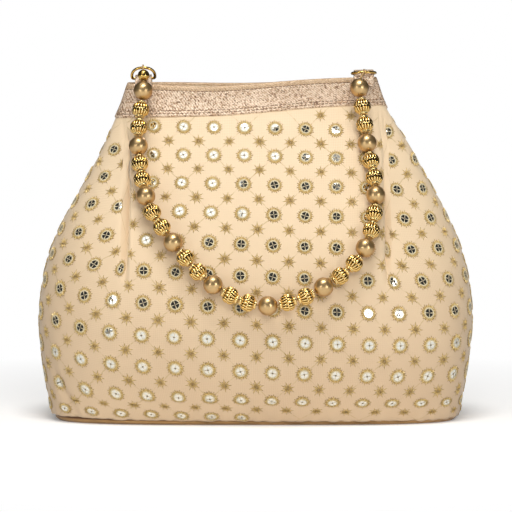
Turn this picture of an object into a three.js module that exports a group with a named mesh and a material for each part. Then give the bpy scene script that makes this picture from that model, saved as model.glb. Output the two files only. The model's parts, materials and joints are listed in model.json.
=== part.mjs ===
import * as THREE from 'three';
import { mergeVertices } from 'three/addons/utils/BufferGeometryUtils.js';

// A potli bag: a soft, wide-bellied pouch of embroidered cloth on a flat base, with a stiff band
// round its mouth and a handle of pearls and fluted beads that hangs from a D-ring at each end.
// Millimetres, +Z up, the front faces -Y. The origin is the middle of the base's underside.

// Heights of the body, from the surface that it stands on.
const baseThickness = 4;
const bellyHeight = 67;
const tuckFoot = 98;
const shoulderHeight = 150;
const bodyTop = 196.5;
const bandHeight = 18.5;
const rimTop = bodyTop + bandHeight;

// Half widths and half depths of the body at its main levels.
const baseHalfWidth = 128;
const baseHalfDepth = 49;
const bellyHalfWidth = 136.9;
const bellyHalfDepth = 66;
const shoulderHalfWidth = 108.7;
const shoulderHalfDepth = 39.5;
const collarHalfWidth = 84;
const collarHalfDepth = 13;
const mouthHalfWidth = 77.5;
const mouthHalfDepth = 9;
const footRound = 2;

// The mouth leans: its right end stands a little higher than its left one.
const rimSlope = 0.022;

// The cloth is embroidered with small mirrors in a lattice of nearly square cells.
const columnPitch = 20;
const rowPitch = 21;
const columnsPerQuarter = 8.5;
const rosetteRadius = 5.2;
const rosetteRise = 1.5;
const rosetteSides = 6;

// Each quarter of the body has one tuck, which takes up the cloth that the narrow mouth can't hold.
const tuckColumn = 4.5;
const tuckWidth = 6;
const tuckDepth = 4;

// Walls and the clearance between pieces that touch.
const clothWall = 2;
const bandProud = 0.8;
const bandWall = 2.6;
const liningWall = 0.8;
const liningDrop = 1;
const boardThickness = 2.5;
const fit = 0.3;
const liningFit = 0.5;

// D-rings, the tabs that hold them and their places along the rim.
const leftRingX = -71;
const rightRingX = 68;
const ringWidth = 16.4;
const ringReach = 8.8;
const ringCorner = 1.6;
const wireDiameter = 1.8;
const leftRingTilt = 40;
const rightRingTilt = 84;
const tabWidth = 10;
const tabThickness = 1;
const tabLeg = 8;
const tabLegGap = 7.6;
const tabShoulderGap = 6.4;

// The bead strand.
const pearlDiameter = 12;
const flutedDiameter = 10.7;
const flutedLength = 10.6;
const flutedCollar = 3;
const fluteDepth = 0.8;
const boreDiameter = 2;
const cordDiameter = 1.2;
const flutedBetweenPearls = 2;
const pearlCount = 11;
const crimpDiameter = 7.4;
const strandStandOff = 0.6;
const tabClearance = 2.2;
const crimpPlace = 0.24;

const group = new THREE.Group();
group.name = 'potli_bag';

const cloth = { color: 0xe8d0ac, roughness: 0.6, metalness: 0 };
const bandCloth = { color: 0xd5ac87, roughness: 0.45, metalness: 0.3 };
const satin = { color: 0xd9c39a, roughness: 0.5, metalness: 0 };
const goldCloth = { color: 0xbe9655, roughness: 0.4, metalness: 0.5 };
const board = { color: 0x9a8a70, roughness: 0.9, metalness: 0 };
const goldWire = { color: 0xd9b35a, roughness: 0.25, metalness: 1 };
const pearlCoat = { color: 0xc8a56e, roughness: 0.3, metalness: 0.4 };
const goldPlate = { color: 0xe6af3c, roughness: 0.25, metalness: 0.9 };
const nylon = { color: 0x4a3a22, roughness: 0.7, metalness: 0 };

function addPiece(name, geometry, finish, parent = group) {
  const mesh = new THREE.Mesh(geometry, new THREE.MeshStandardMaterial(finish));
  mesh.name = name;
  parent.add(mesh);
  return mesh;
}

function smoothStep(from, to, value) {
  const t = Math.min(1, Math.max(0, (value - from) / (to - from)));
  return t * t * (3 - 2 * t);
}

function mix(from, to, share) {
  return from + (to - from) * share;
}

// The body's main cross sections. Squareness is the power of the superellipse.
const baseSection = {
  z: baseThickness, halfWidth: baseHalfWidth, halfDepth: baseHalfDepth, squareness: 3.5 };
const footSection = {
  ...baseSection, z: 0, halfWidth: baseHalfWidth - footRound, halfDepth: baseHalfDepth - footRound };
const bellySection = {
  z: bellyHeight, halfWidth: bellyHalfWidth, halfDepth: bellyHalfDepth, squareness: 2.7 };
const shoulderSection = {
  z: shoulderHeight, halfWidth: shoulderHalfWidth, halfDepth: shoulderHalfDepth, squareness: 2.4 };
const collarSection = {
  z: bodyTop, halfWidth: collarHalfWidth, halfDepth: collarHalfDepth, squareness: 2.1 };
const mouthSection = {
  z: rimTop, halfWidth: mouthHalfWidth, halfDepth: mouthHalfDepth, squareness: 2 };

// A section part of the way up between two others. The cloth bulges, so it turns in unevenly.
function sectionBetween(low, high, share, turn) {
  return {
    z: mix(low.z, high.z, share),
    halfWidth: mix(low.halfWidth, high.halfWidth, turn(share)),
    halfDepth: mix(low.halfDepth, high.halfDepth, turn(share)),
    squareness: mix(low.squareness, high.squareness, share),
  };
}
const bulgeOut = (share) => 1 - (1 - share) ** 2.1;
const fallIn = (share) => share ** 1.85;
const bulgeShares = [0.13, 0.37, 0.68];
const fallShares = [0.37, 0.65];

const sections = [
  footSection,
  baseSection,
  ...bulgeShares.map((share) => sectionBetween(baseSection, bellySection, share, bulgeOut)),
  bellySection,
  ...fallShares.map((share) => sectionBetween(bellySection, shoulderSection, share, fallIn)),
  shoulderSection,
  collarSection,
  mouthSection,
];

function slopeAt(index, key) {
  const before = sections[Math.max(0, index - 1)];
  const after = sections[Math.min(sections.length - 1, index + 1)];
  return (after[key] - before[key]) / (after.z - before.z);
}

// A smooth curve through the sections gives each of their values at any height.
function sectionValue(z, key) {
  let i = 0;
  while (i < sections.length - 2 && z > sections[i + 1].z) i += 1;
  const low = sections[i];
  const high = sections[i + 1];
  const span = high.z - low.z;
  const t = Math.min(1, Math.max(0, (z - low.z) / span));
  const t2 = t * t;
  const t3 = t2 * t;
  return (2 * t3 - 3 * t2 + 1) * low[key] + (t3 - 2 * t2 + t) * span * slopeAt(i, key)
    + (3 * t2 - 2 * t3) * high[key] + (t3 - t2) * span * slopeAt(i + 1, key);
}

const outlineSteps = 48;

// One quarter of a cross section, from the front's middle to the side, with its running length.
function quarterOutline(z, inset) {
  const halfWidth = sectionValue(z, 'halfWidth') - inset;
  const halfDepth = sectionValue(z, 'halfDepth') - inset;
  const power = 2 / sectionValue(z, 'squareness');
  const points = [];
  let length = 0;
  for (let i = 0; i <= outlineSteps; i += 1) {
    const angle = (i / outlineSteps) * (Math.PI / 2);
    const x = halfWidth * Math.sin(angle) ** power;
    const y = halfDepth * Math.max(0, Math.cos(angle)) ** power;
    if (i > 0) length += Math.hypot(x - points[i - 1].x, y - points[i - 1].y);
    points.push({ x, y, length });
  }
  return points;
}

function alongOutline(points, length) {
  let i = 1;
  while (i < points.length - 1 && points[i].length < length) i += 1;
  const low = points[i - 1];
  const high = points[i];
  const t = Math.min(1, Math.max(0, (length - low.length) / (high.length - low.length)));
  return { x: low.x + (high.x - low.x) * t, y: low.y + (high.y - low.y) * t };
}

// Where the tuck lies at this height: it takes up the cloth that the section has no room for.
function tuckAt(quarterLength) {
  const spare = Math.max(0, columnsPerQuarter - quarterLength / columnPitch);
  const column = Math.min(columnPitch, (quarterLength - tuckWidth / 2) / tuckColumn);
  const start = tuckColumn * column;
  const endColumn = Math.min(columnsPerQuarter, tuckColumn + spare + tuckWidth / columnPitch);
  const end = quarterLength - (columnsPerQuarter - endColumn) * columnPitch;
  return { spare, column, start, endColumn, end };
}

// The length along the quarter at which the cloth's column lies.
function columnLength(column, quarterLength) {
  const tuck = tuckAt(quarterLength);
  if (tuck.spare === 0) return (column / columnsPerQuarter) * quarterLength;
  if (column <= tuckColumn) return column * tuck.column;
  if (column >= tuck.endColumn) return quarterLength - (columnsPerQuarter - column) * columnPitch;
  const share = (column - tuckColumn) / (tuck.endColumn - tuckColumn);
  return tuck.start + (tuck.end - tuck.start) * share;
}

// How far the tuck pulls the cloth in: a valley that opens above the belly and flattens at the band.
function tuckPull(column, quarterLength, z) {
  const tuck = tuckAt(quarterLength);
  if (tuck.spare === 0 || column <= tuckColumn || column >= tuck.endColumn) return 0;
  const share = (column - tuckColumn) / (tuck.endColumn - tuckColumn);
  const valley = 1 - Math.abs(2 * share - 1);
  const opening = smoothStep(tuckFoot, tuckFoot + rowPitch * 2, z);
  const flattening = 1 - 0.8 * smoothStep(bodyTop - rowPitch * 2, bodyTop, z);
  return tuckDepth * valley * opening * flattening;
}

const columnsAround = 4 * columnsPerQuarter;

// A point of the body's skin. Column 0 is the front's middle, and columns grow towards +X.
function skinPoint(column, z, inset = 0) {
  let wrapped = column % columnsAround;
  if (wrapped > columnsAround / 2) wrapped -= columnsAround;
  if (wrapped < -columnsAround / 2) wrapped += columnsAround;
  const side = Math.sign(wrapped) || 1;
  const isBack = Math.abs(wrapped) > columnsPerQuarter;
  const fromMiddle = isBack ? columnsAround / 2 - Math.abs(wrapped) : Math.abs(wrapped);
  const skin = quarterOutline(z, 0);
  const quarterLength = skin[outlineSteps].length;
  const pull = tuckPull(fromMiddle, quarterLength, z);
  const outline = quarterOutline(z, inset + pull);
  const share = columnLength(fromMiddle, quarterLength) / quarterLength;
  const flat = alongOutline(outline, share * outline[outlineSteps].length);
  const x = side * flat.x;
  const rise = rimSlope * x * smoothStep(tuckFoot, bodyTop, z);
  return new THREE.Vector3(x, isBack ? flat.y : -flat.y, z + rise);
}

// A closed solid from points and triangles. Shared points make its seams watertight.
function solidGeometry(points, triangles) {
  const geometry = new THREE.BufferGeometry();
  geometry.setAttribute('position', new THREE.Float32BufferAttribute(
    points.flatMap((point) => [point.x, point.y, point.z]), 3));
  geometry.setIndex(triangles.flat());
  geometry.computeVertexNormals();
  return geometry;
}

// Joins two closed loops of points that run the same way, each point with its place around it.
// Seen from outside, the loops run to the right and the second one is above the first.
function bridgeLoops(low, high, triangles, facesIn = false) {
  const addTriangle = (a, b, c) => triangles.push(facesIn ? [a, c, b] : [a, b, c]);
  let i = 0;
  let j = 0;
  while (i < low.length || j < high.length) {
    const nextLow = i < low.length ? (low[i + 1]?.place ?? low[0].place + 1) : Infinity;
    const nextHigh = j < high.length ? (high[j + 1]?.place ?? high[0].place + 1) : Infinity;
    const a = low[i % low.length].index;
    const b = high[j % high.length].index;
    if (nextLow <= nextHigh) {
      addTriangle(a, low[(i + 1) % low.length].index, b);
      i += 1;
    } else {
      addTriangle(a, high[(j + 1) % high.length].index, b);
      j += 1;
    }
  }
}

// A loop of skin points at one height, at the columns given, added to a list of points.
function skinLoop(points, columns, z, inset) {
  return columns.map((column) => {
    points.push(skinPoint(column, z, inset));
    return { index: points.length - 1, place: column / columnsAround };
  });
}

// Closes a loop with a fan round its middle.
function capLoop(points, loop, triangles, facesDown) {
  const middle = new THREE.Vector3();
  loop.forEach(({ index }) => middle.add(points[index]));
  points.push(middle.divideScalar(loop.length));
  const centre = points.length - 1;
  loop.forEach(({ index }, i) => {
    const next = loop[(i + 1) % loop.length].index;
    triangles.push(facesDown ? [centre, next, index] : [centre, index, next]);
  });
}

// Column edges for the embroidered face, and fewer of them for the plain faces.
const faceColumns = [];
for (let column = 0.5 - columnsAround / 2; column < columnsAround / 2; column += 1) {
  faceColumns.push(column);
}
const quarterEdges = [0.5, 2.5, 4.5, 5.5, 6.5, 7.5, 8.5];
const plainColumns = [
  ...quarterEdges.slice(0, -1).map((edge) => edge - columnsAround / 2),
  ...quarterEdges.map((edge) => -edge).reverse(),
  ...quarterEdges,
  ...quarterEdges.slice(0, -1).map((edge) => columnsAround / 2 - edge).reverse(),
];

// Heights of the plain faces' rings, shared so that neighbouring walls never cross.
const clothFoot = baseThickness + fit;
const liningFoot = baseThickness + boardThickness + 2 * fit;
const wallHeights = [
  mix(baseThickness, bellyHeight, bulgeShares[1]),
  bellyHeight,
  tuckFoot,
  mix(tuckFoot, shoulderHeight, 0.55),
  mix(shoulderHeight, bodyTop, 0.25),
];

// Heights of the embroidery's rows, equally far apart along the front of the body.
function embroideryRows() {
  const steps = 200;
  const path = [{ z: clothFoot, length: 0 }];
  for (let i = 1; i <= steps; i += 1) {
    const z = clothFoot + ((bodyTop - fit - clothFoot) * i) / steps;
    const last = path[i - 1];
    const lean = sectionValue(z, 'halfDepth') - sectionValue(last.z, 'halfDepth');
    path.push({ z, length: last.length + Math.hypot(z - last.z, lean) });
  }
  const total = path[steps].length;
  const rows = Math.round(total / rowPitch);
  const heights = [];
  for (let row = 0; row <= rows; row += 1) {
    heights.push(path.find(({ length }) => length >= (total * row) / rows - 1e-6).z);
  }
  return heights;
}

// The embroidered cloth: a lattice of cells, each with a mirror in a raised stitched rosette where
// the cloth lies open, and plain where the tucks gather it. Its wall holds a thin foam interlining.
function outerShellGeometry() {
  const points = [];
  const triangles = [];
  const heights = embroideryRows();
  const loops = heights.map((z) => skinLoop(points, faceColumns, z, 0));
  for (let row = 0; row + 1 < heights.length; row += 1) {
    const middleHeight = (heights[row] + heights[row + 1]) / 2;
    const rowHeight = heights[row + 1] - heights[row];
    for (let i = 0; i < faceColumns.length; i += 1) {
      const next = (i + 1) % faceColumns.length;
      const corners = [loops[row][i], loops[row][next], loops[row + 1][next], loops[row + 1][i]];
      const column = faceColumns[i] + 0.5;
      const left = skinPoint(faceColumns[i], middleHeight);
      const right = skinPoint(faceColumns[i] + 1, middleHeight);
      const cellWidth = left.distanceTo(right);
      const cellHeight = points[corners[0].index].distanceTo(points[corners[3].index]);
      if (Math.min(cellWidth, cellHeight) < 2 * rosetteRadius + rosetteRise * 2) {
        triangles.push([corners[0].index, corners[1].index, corners[2].index]);
        triangles.push([corners[0].index, corners[2].index, corners[3].index]);
        continue;
      }
      const ring = [];
      for (let k = 0; k < rosetteSides; k += 1) {
        const angle = ((k + 0.5) / rosetteSides) * 2 * Math.PI;
        const across = (rosetteRadius * Math.cos(angle)) / cellWidth;
        const up = (rosetteRadius * Math.sin(angle)) / cellHeight;
        points.push(skinPoint(column + across, middleHeight + up * rowHeight));
        ring.push({ index: points.length - 1, place: (k + 0.5) / rosetteSides });
      }
      // The cell's corners lie at these places around its middle, from the right-hand upper one.
      const frame = [2, 3, 0, 1].map((corner, k) => (
        { index: corners[corner].index, place: (k + 0.5) / 4 }));
      bridgeLoops(frame, ring, triangles);
      points.push(skinPoint(column, middleHeight, -rosetteRise));
      const top = points.length - 1;
      ring.forEach(({ index }, k) => {
        triangles.push([index, ring[(k + 1) % rosetteSides].index, top]);
      });
    }
  }
  const innerLoops = [clothFoot, liningFoot, ...wallHeights, bodyTop - fit]
    .map((z) => skinLoop(points, plainColumns, z, clothWall));
  for (let i = 0; i + 1 < innerLoops.length; i += 1) {
    bridgeLoops(innerLoops[i], innerLoops[i + 1], triangles, true);
  }
  bridgeLoops(innerLoops[0], loops[0], triangles);
  bridgeLoops(loops[loops.length - 1], innerLoops[innerLoops.length - 1], triangles);
  return solidGeometry(points, triangles);
}
addPiece('outer_shell', outerShellGeometry(), cloth);

// A wall round the body, between two insets from its skin and open at both ends.
function wallGeometry(heights, outerInset, innerInset) {
  const points = [];
  const triangles = [];
  const outer = heights.map((z) => skinLoop(points, plainColumns, z, outerInset));
  const inner = heights.map((z) => skinLoop(points, plainColumns, z, innerInset));
  for (let i = 0; i + 1 < heights.length; i += 1) {
    bridgeLoops(outer[i], outer[i + 1], triangles);
    bridgeLoops(inner[i], inner[i + 1], triangles, true);
  }
  bridgeLoops(inner[0], outer[0], triangles);
  bridgeLoops(outer[heights.length - 1], inner[heights.length - 1], triangles);
  return solidGeometry(points, triangles);
}

// The stiff band of glitter twill, folded over the cloth's top edge and stitched along both edges.
const bandMiddle = bodyTop + bandHeight / 2;
const bandHeights = [bodyTop, bandMiddle, rimTop];
addPiece('rim_band', wallGeometry(bandHeights, -bandProud, bandWall - bandProud), bandCloth);

// The satin lining: a cup that follows the wall from the base board to just below the rim.
function liningGeometry() {
  const points = [];
  const triangles = [];
  const outerInset = Math.max(clothWall, bandWall - bandProud) + liningFit;
  const heights = [liningFoot, ...wallHeights, bodyTop - fit, bandMiddle, rimTop - liningDrop];
  const outer = heights.map((z) => skinLoop(points, plainColumns, z, outerInset));
  heights[0] += liningWall;
  const inner = heights.map((z) => skinLoop(points, plainColumns, z, outerInset + liningWall));
  for (let i = 0; i + 1 < heights.length; i += 1) {
    bridgeLoops(outer[i], outer[i + 1], triangles);
    bridgeLoops(inner[i], inner[i + 1], triangles, true);
  }
  bridgeLoops(outer[heights.length - 1], inner[heights.length - 1], triangles);
  capLoop(points, outer[0], triangles, true);
  capLoop(points, inner[0], triangles, false);
  return solidGeometry(points, triangles);
}
addPiece('lining', liningGeometry(), satin);

// A flat slab that follows the body's outline between heights.
function slabGeometry(levels) {
  const points = [];
  const triangles = [];
  const loops = levels.map(({ z, shapeZ, inset }) => {
    const loop = skinLoop(points, plainColumns, shapeZ, inset);
    loop.forEach(({ index }) => points[index].setZ(z));
    return loop;
  });
  for (let i = 0; i + 1 < loops.length; i += 1) bridgeLoops(loops[i], loops[i + 1], triangles);
  capLoop(points, loops[0], triangles, true);
  capLoop(points, loops[loops.length - 1], triangles, false);
  return solidGeometry(points, triangles);
}

// The base: board covered in gold cloth, with a rounded edge that shows as a strip under the body.
addPiece('base_panel', slabGeometry([
  { z: 0, shapeZ: 0, inset: 1.5 },
  { z: baseThickness / 3, shapeZ: 0, inset: 0 },
  { z: baseThickness, shapeZ: baseThickness, inset: 0 },
]), goldCloth);

// The loose stiffener that lies on the base under the lining.
const boardFoot = baseThickness + fit;
addPiece('base_board', slabGeometry([
  { z: boardFoot, shapeZ: boardFoot, inset: clothWall + 2 * fit },
  { z: boardFoot + boardThickness, shapeZ: boardFoot, inset: clothWall + 2 * fit },
]), board);

// The rings' frame: its X axis runs along both ring bars, just clear of the leaning rim.
const wireRadius = wireDiameter / 2;
const barLift = fit + wireRadius;
const ringFrame = new THREE.Group();
ringFrame.position.set(0, 0, rimTop + barLift);
ringFrame.rotation.y = -Math.atan(rimSlope);
group.add(ringFrame);

// A D-ring bent from wire: a straight bar along X and a bow that reaches up from it.
const ringSteps = 20;
const wireSides = 6;
function ringGeometry() {
  const half = ringWidth / 2 - wireRadius;
  const path = new THREE.CurvePath();
  const at = (x, z) => new THREE.Vector3(x, 0, z);
  path.add(new THREE.LineCurve3(at(half - ringCorner, 0), at(ringCorner - half, 0)));
  path.add(new THREE.QuadraticBezierCurve3(at(ringCorner - half, 0), at(-half, 0), at(-half, ringCorner)));
  path.add(new THREE.CubicBezierCurve3(at(-half, ringCorner), at(-half, ringReach * 0.75),
    at(-half * 0.6, ringReach), at(0, ringReach)));
  path.add(new THREE.CubicBezierCurve3(at(0, ringReach), at(half * 0.6, ringReach),
    at(half, ringReach * 0.75), at(half, ringCorner)));
  path.add(new THREE.QuadraticBezierCurve3(at(half, ringCorner), at(half, 0), at(half - ringCorner, 0)));
  const tube = new THREE.TubeGeometry(path, ringSteps, wireRadius, wireSides, true);
  tube.deleteAttribute('normal');
  tube.deleteAttribute('uv');
  const closed = mergeVertices(tube, 1e-3);
  closed.computeVertexNormals();
  return closed;
}

function addRing(name, x, tilt) {
  const ring = addPiece(name, ringGeometry(), goldWire, ringFrame);
  ring.position.x = x;
  ring.rotation.x = THREE.MathUtils.degToRad(tilt);
}
addRing('ring_left', leftRingX, leftRingTilt);
addRing('ring_right', rightRingX, rightRingTilt);

// A tab of band cloth: a strap folded over a ring's bar and sewn down on both faces of the rim.
function tabGeometry() {
  const crest = wireRadius + fit;
  const outline = new THREE.Shape();
  const outside = tabThickness;
  outline.moveTo(-tabLegGap - outside, -tabLeg);
  outline.lineTo(-tabShoulderGap - outside, -barLift);
  outline.lineTo(-crest, crest + outside);
  outline.lineTo(crest, crest + outside);
  outline.lineTo(tabShoulderGap + outside, -barLift);
  outline.lineTo(tabLegGap + outside, -tabLeg);
  outline.lineTo(tabLegGap, -tabLeg);
  outline.lineTo(tabShoulderGap, -barLift);
  outline.lineTo(crest, crest);
  outline.lineTo(-crest, crest);
  outline.lineTo(-tabShoulderGap, -barLift);
  outline.lineTo(-tabLegGap, -tabLeg);
  const strap = new THREE.ExtrudeGeometry(outline, { depth: tabWidth, bevelEnabled: false });
  // The outline was drawn in X and Y: its X becomes the body's Y, and its Y becomes Z.
  strap.translate(0, 0, -tabWidth / 2);
  strap.rotateX(Math.PI / 2);
  strap.rotateZ(Math.PI / 2);
  return strap;
}
addPiece('ring_tab_left', tabGeometry(), bandCloth, ringFrame).position.x = leftRingX;
addPiece('ring_tab_right', tabGeometry(), bandCloth, ringFrame).position.x = rightRingX;

// The middle of each ring's bow, where the cord is looped over the wire.
function bowMiddle(x, tilt) {
  const angle = THREE.MathUtils.degToRad(tilt);
  ringFrame.updateMatrixWorld(true);
  return new THREE.Vector3(x, -ringReach * Math.sin(angle), ringReach * Math.cos(angle))
    .applyMatrix4(ringFrame.matrixWorld);
}
const leftBow = bowMiddle(leftRingX, leftRingTilt);
const rightBow = bowMiddle(rightRingX, rightRingTilt);

// How far the body's front stands out at a point, and the slope of its lean there.
function frontDepth(x, z) {
  const halfWidth = sectionValue(z, 'halfWidth');
  const power = sectionValue(z, 'squareness');
  const share = Math.min(0.99, Math.abs(x) / halfWidth);
  return sectionValue(z, 'halfDepth') * (1 - share ** power) ** (1 / power);
}

// The strand's pearls as they lie on the front, across and up. Their depth follows the body.
const pearlSpots = [
  [-70.7, 207.1], [-73.4, 173.8], [-67.6, 141], [-51.3, 115.5], [-27, 90], [4.3, 76.8],
  [38.4, 86.4], [65.5, 108.7], [74, 141.4], [69.2, 175.3], [64.8, 209],
];
function strandPoint([x, z]) {
  const lean = frontDepth(x, z - 1) - frontDepth(x, z + 1);
  const offset = pearlDiameter / 2 + rosetteRise + strandStandOff;
  const tab = tabClearance * smoothStep(bodyTop - 10, bodyTop + 10, z);
  return new THREE.Vector3(x, -frontDepth(x, z) - offset * Math.hypot(1, lean / 2) - tab, z);
}
const strand = new THREE.CatmullRomCurve3(pearlSpots.map(strandPoint), false, 'centripetal');
const strandLength = strand.getLength();

// The beads in order: a pearl, then fluted beads up to the next pearl, with equal gaps between.
const pearlLength = Math.sqrt(pearlDiameter ** 2 - boreDiameter ** 2);
const beadLengths = [];
for (let pearl = 0; pearl < pearlCount; pearl += 1) {
  beadLengths.push(pearlLength);
  if (pearl < pearlCount - 1) {
    for (let k = 0; k < flutedBetweenPearls; k += 1) beadLengths.push(flutedLength);
  }
}
const threaded = beadLengths.reduce((sum, length) => sum + length, 0) - pearlLength;
const beadGap = (strandLength - threaded) / (beadLengths.length - 1);

// Profiles are turned round the bead's bore. The first and last points lie on the bore's wall.
const bore = boreDiameter / 2;
function pearlProfile() {
  const radius = pearlDiameter / 2;
  const edge = Math.asin(bore / radius);
  const profile = [];
  const bands = 5;
  for (let i = 0; i <= bands; i += 1) {
    const angle = -Math.PI / 2 + edge + ((Math.PI - 2 * edge) * i) / bands;
    profile.push(new THREE.Vector2(radius * Math.cos(angle), radius * Math.sin(angle)));
  }
  return profile;
}

function flutedProfile() {
  const half = flutedLength / 2;
  const belly = flutedDiameter / 2;
  return [
    new THREE.Vector2(bore, -half),
    new THREE.Vector2(flutedCollar, -half),
    new THREE.Vector2(belly, -half * 0.35),
    new THREE.Vector2(belly, half * 0.35),
    new THREE.Vector2(flutedCollar, half),
    new THREE.Vector2(bore, half),
  ];
}

const beadSides = 10;
function turnedGeometry(profile, flute = 0) {
  const turned = new THREE.LatheGeometry([...profile, profile[0].clone()], beadSides);
  turned.deleteAttribute('normal');
  turned.deleteAttribute('uv');
  const closed = mergeVertices(turned, 1e-3);
  const place = closed.getAttribute('position');
  for (let i = 0; i < place.count; i += 1) {
    const x = place.getX(i);
    const z = place.getZ(i);
    const radius = Math.hypot(x, z);
    const side = Math.round((Math.atan2(x, z) / (2 * Math.PI)) * beadSides);
    if (side % 2 === 0 || radius < flutedCollar + fluteDepth) continue;
    const pulled = (radius - flute) / radius;
    place.setX(i, x * pulled);
    place.setZ(i, z * pulled);
  }
  closed.computeVertexNormals();
  return closed;
}

const pearlGeometry = turnedGeometry(pearlProfile());
const flutedGeometry = turnedGeometry(flutedProfile(), fluteDepth);

// Each bead sits on the straight stretch of cord between its two ends.
const cordPath = [];
function threadBead(name, geometry, finish, entry, exit) {
  const bead = addPiece(name, geometry, finish);
  bead.position.addVectors(entry, exit).multiplyScalar(0.5);
  const along = new THREE.Vector3().subVectors(exit, entry).normalize();
  bead.quaternion.setFromUnitVectors(new THREE.Vector3(0, 1, 0), along);
  cordPath.push(entry, exit);
}

const spots = [];
let travelled = 0;
beadLengths.forEach((length, i) => {
  if (i > 0) travelled += beadLengths[i - 1] / 2 + beadGap + length / 2;
  const middle = strand.getPointAt(Math.min(1, travelled / strandLength));
  const along = strand.getTangentAt(Math.min(1, travelled / strandLength));
  spots.push({ middle, along: along.multiplyScalar(length / 2) });
});

// The cord is looped over the ring's wire and starts behind it.
function wireLoop(bow, angles) {
  const radius = wireRadius + cordDiameter / 2 + fit;
  return angles.map((degrees) => {
    const angle = THREE.MathUtils.degToRad(degrees);
    return new THREE.Vector3(bow.x, bow.y + radius * Math.cos(angle), bow.z + radius * Math.sin(angle));
  });
}
const loopAngles = [-70, -20, 30, 80, 130, 165];
cordPath.push(...wireLoop(leftBow, loopAngles));

// The crimp ball hides the knot below the left ring.
const crimpProfile = () => {
  const radius = crimpDiameter / 2;
  const edge = Math.asin(bore / radius);
  return [-1, -0.55, 0, 0.55, 1].map((share) => {
    const angle = share * (Math.PI / 2 - edge);
    return new THREE.Vector2(radius * Math.cos(angle), radius * Math.sin(angle));
  });
};
const firstEntry = spots[0].middle.clone().sub(spots[0].along);
const crimpTop = cordPath[cordPath.length - 1].clone().lerp(firstEntry, crimpPlace);
const crimpAlong = firstEntry.clone().sub(crimpTop).normalize();
const crimpLength = Math.sqrt(crimpDiameter ** 2 - boreDiameter ** 2);
const crimpEnd = crimpTop.clone().addScaledVector(crimpAlong, crimpLength);
threadBead('crimp_ball', turnedGeometry(crimpProfile()), goldWire, crimpTop, crimpEnd);

let pearls = 0;
let fluted = 0;
spots.forEach(({ middle, along }, i) => {
  const isPearl = beadLengths[i] === pearlLength;
  const count = isPearl ? (pearls += 1) : (fluted += 1);
  const name = `${isPearl ? 'pearl' : 'fluted'}_bead_${String(count).padStart(2, '0')}`;
  threadBead(name, isPearl ? pearlGeometry : flutedGeometry, isPearl ? pearlCoat : goldPlate,
    middle.clone().sub(along), middle.clone().add(along));
});
cordPath.push(...wireLoop(rightBow, [...loopAngles].reverse()));

// The stringing cord: a thin tube with one ring of points at each end of every bead.
const cordSides = 6;
function cordGeometry(path) {
  const points = [];
  const loops = [];
  const side = new THREE.Vector3(1, 0, 0);
  path.forEach((point, i) => {
    const before = path[Math.max(0, i - 1)];
    const after = path[Math.min(path.length - 1, i + 1)];
    const along = new THREE.Vector3().subVectors(after, before).normalize();
    side.addScaledVector(along, -side.dot(along)).normalize();
    const across = new THREE.Vector3().crossVectors(along, side);
    const loop = [];
    for (let k = 0; k < cordSides; k += 1) {
      const angle = (k / cordSides) * 2 * Math.PI;
      points.push(point.clone()
        .addScaledVector(side, (Math.cos(angle) * cordDiameter) / 2)
        .addScaledVector(across, (Math.sin(angle) * cordDiameter) / 2));
      loop.push({ index: points.length - 1, place: k / cordSides });
    }
    loops.push(loop);
  });
  const triangles = [];
  for (let i = 0; i + 1 < loops.length; i += 1) bridgeLoops(loops[i], loops[i + 1], triangles);
  capLoop(points, loops[0], triangles, true);
  capLoop(points, loops[loops.length - 1], triangles, false);
  return solidGeometry(points, triangles);
}
addPiece('handle_cord', cordGeometry(cordPath), nylon);

export default group;
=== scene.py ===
import json
import math

import bpy
import numpy as np
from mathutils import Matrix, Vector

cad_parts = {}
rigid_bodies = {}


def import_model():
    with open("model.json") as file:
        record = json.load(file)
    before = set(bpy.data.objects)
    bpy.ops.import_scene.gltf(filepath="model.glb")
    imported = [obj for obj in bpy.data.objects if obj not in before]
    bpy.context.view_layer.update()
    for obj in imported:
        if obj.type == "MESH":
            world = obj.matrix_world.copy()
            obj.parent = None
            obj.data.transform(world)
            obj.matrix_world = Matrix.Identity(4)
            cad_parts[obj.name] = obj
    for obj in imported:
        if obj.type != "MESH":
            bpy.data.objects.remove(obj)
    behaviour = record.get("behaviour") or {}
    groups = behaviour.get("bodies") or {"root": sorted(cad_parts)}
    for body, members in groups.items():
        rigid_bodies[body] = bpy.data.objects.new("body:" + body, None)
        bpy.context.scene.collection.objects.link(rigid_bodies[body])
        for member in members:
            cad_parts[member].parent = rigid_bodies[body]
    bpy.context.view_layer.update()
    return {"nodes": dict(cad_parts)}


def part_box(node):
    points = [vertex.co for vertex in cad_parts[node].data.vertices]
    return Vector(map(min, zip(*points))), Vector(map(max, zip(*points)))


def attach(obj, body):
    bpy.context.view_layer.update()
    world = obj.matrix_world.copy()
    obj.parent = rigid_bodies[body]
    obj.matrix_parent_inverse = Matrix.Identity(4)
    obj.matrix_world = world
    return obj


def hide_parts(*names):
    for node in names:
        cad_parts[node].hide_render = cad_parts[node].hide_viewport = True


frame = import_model()

# The body's shape: a wide-bellied tube of cloth, sewn to a flat base and gathered with four tucks
# into a narrow, stiff mouth. Sizes are in millimetres, and the front faces -Y.
# Each section is a superellipse: height, half width, half depth and squareness.
FOOT = np.array((0.0, 126.0, 47.0, 3.5))
BASE = np.array((4.0, 128.0, 49.0, 3.5))
BELLY = np.array((67.0, 136.9, 66.0, 2.7))
SHOULDER = np.array((150.0, 108.7, 39.5, 2.4))
COLLAR = np.array((196.5, 84.0, 13.0, 2.1))
MOUTH = np.array((215.0, 77.5, 9.0, 2.0))
BASE_THICK = 4.3
# Places round the bag are counted in columns, each 20 mm of cloth at the belly, from the middle of
# the front. There are 8.5 to a quarter, and 34 in all.
COLUMN = 20.0
QUARTER = 8.5
AROUND = 34
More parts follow.
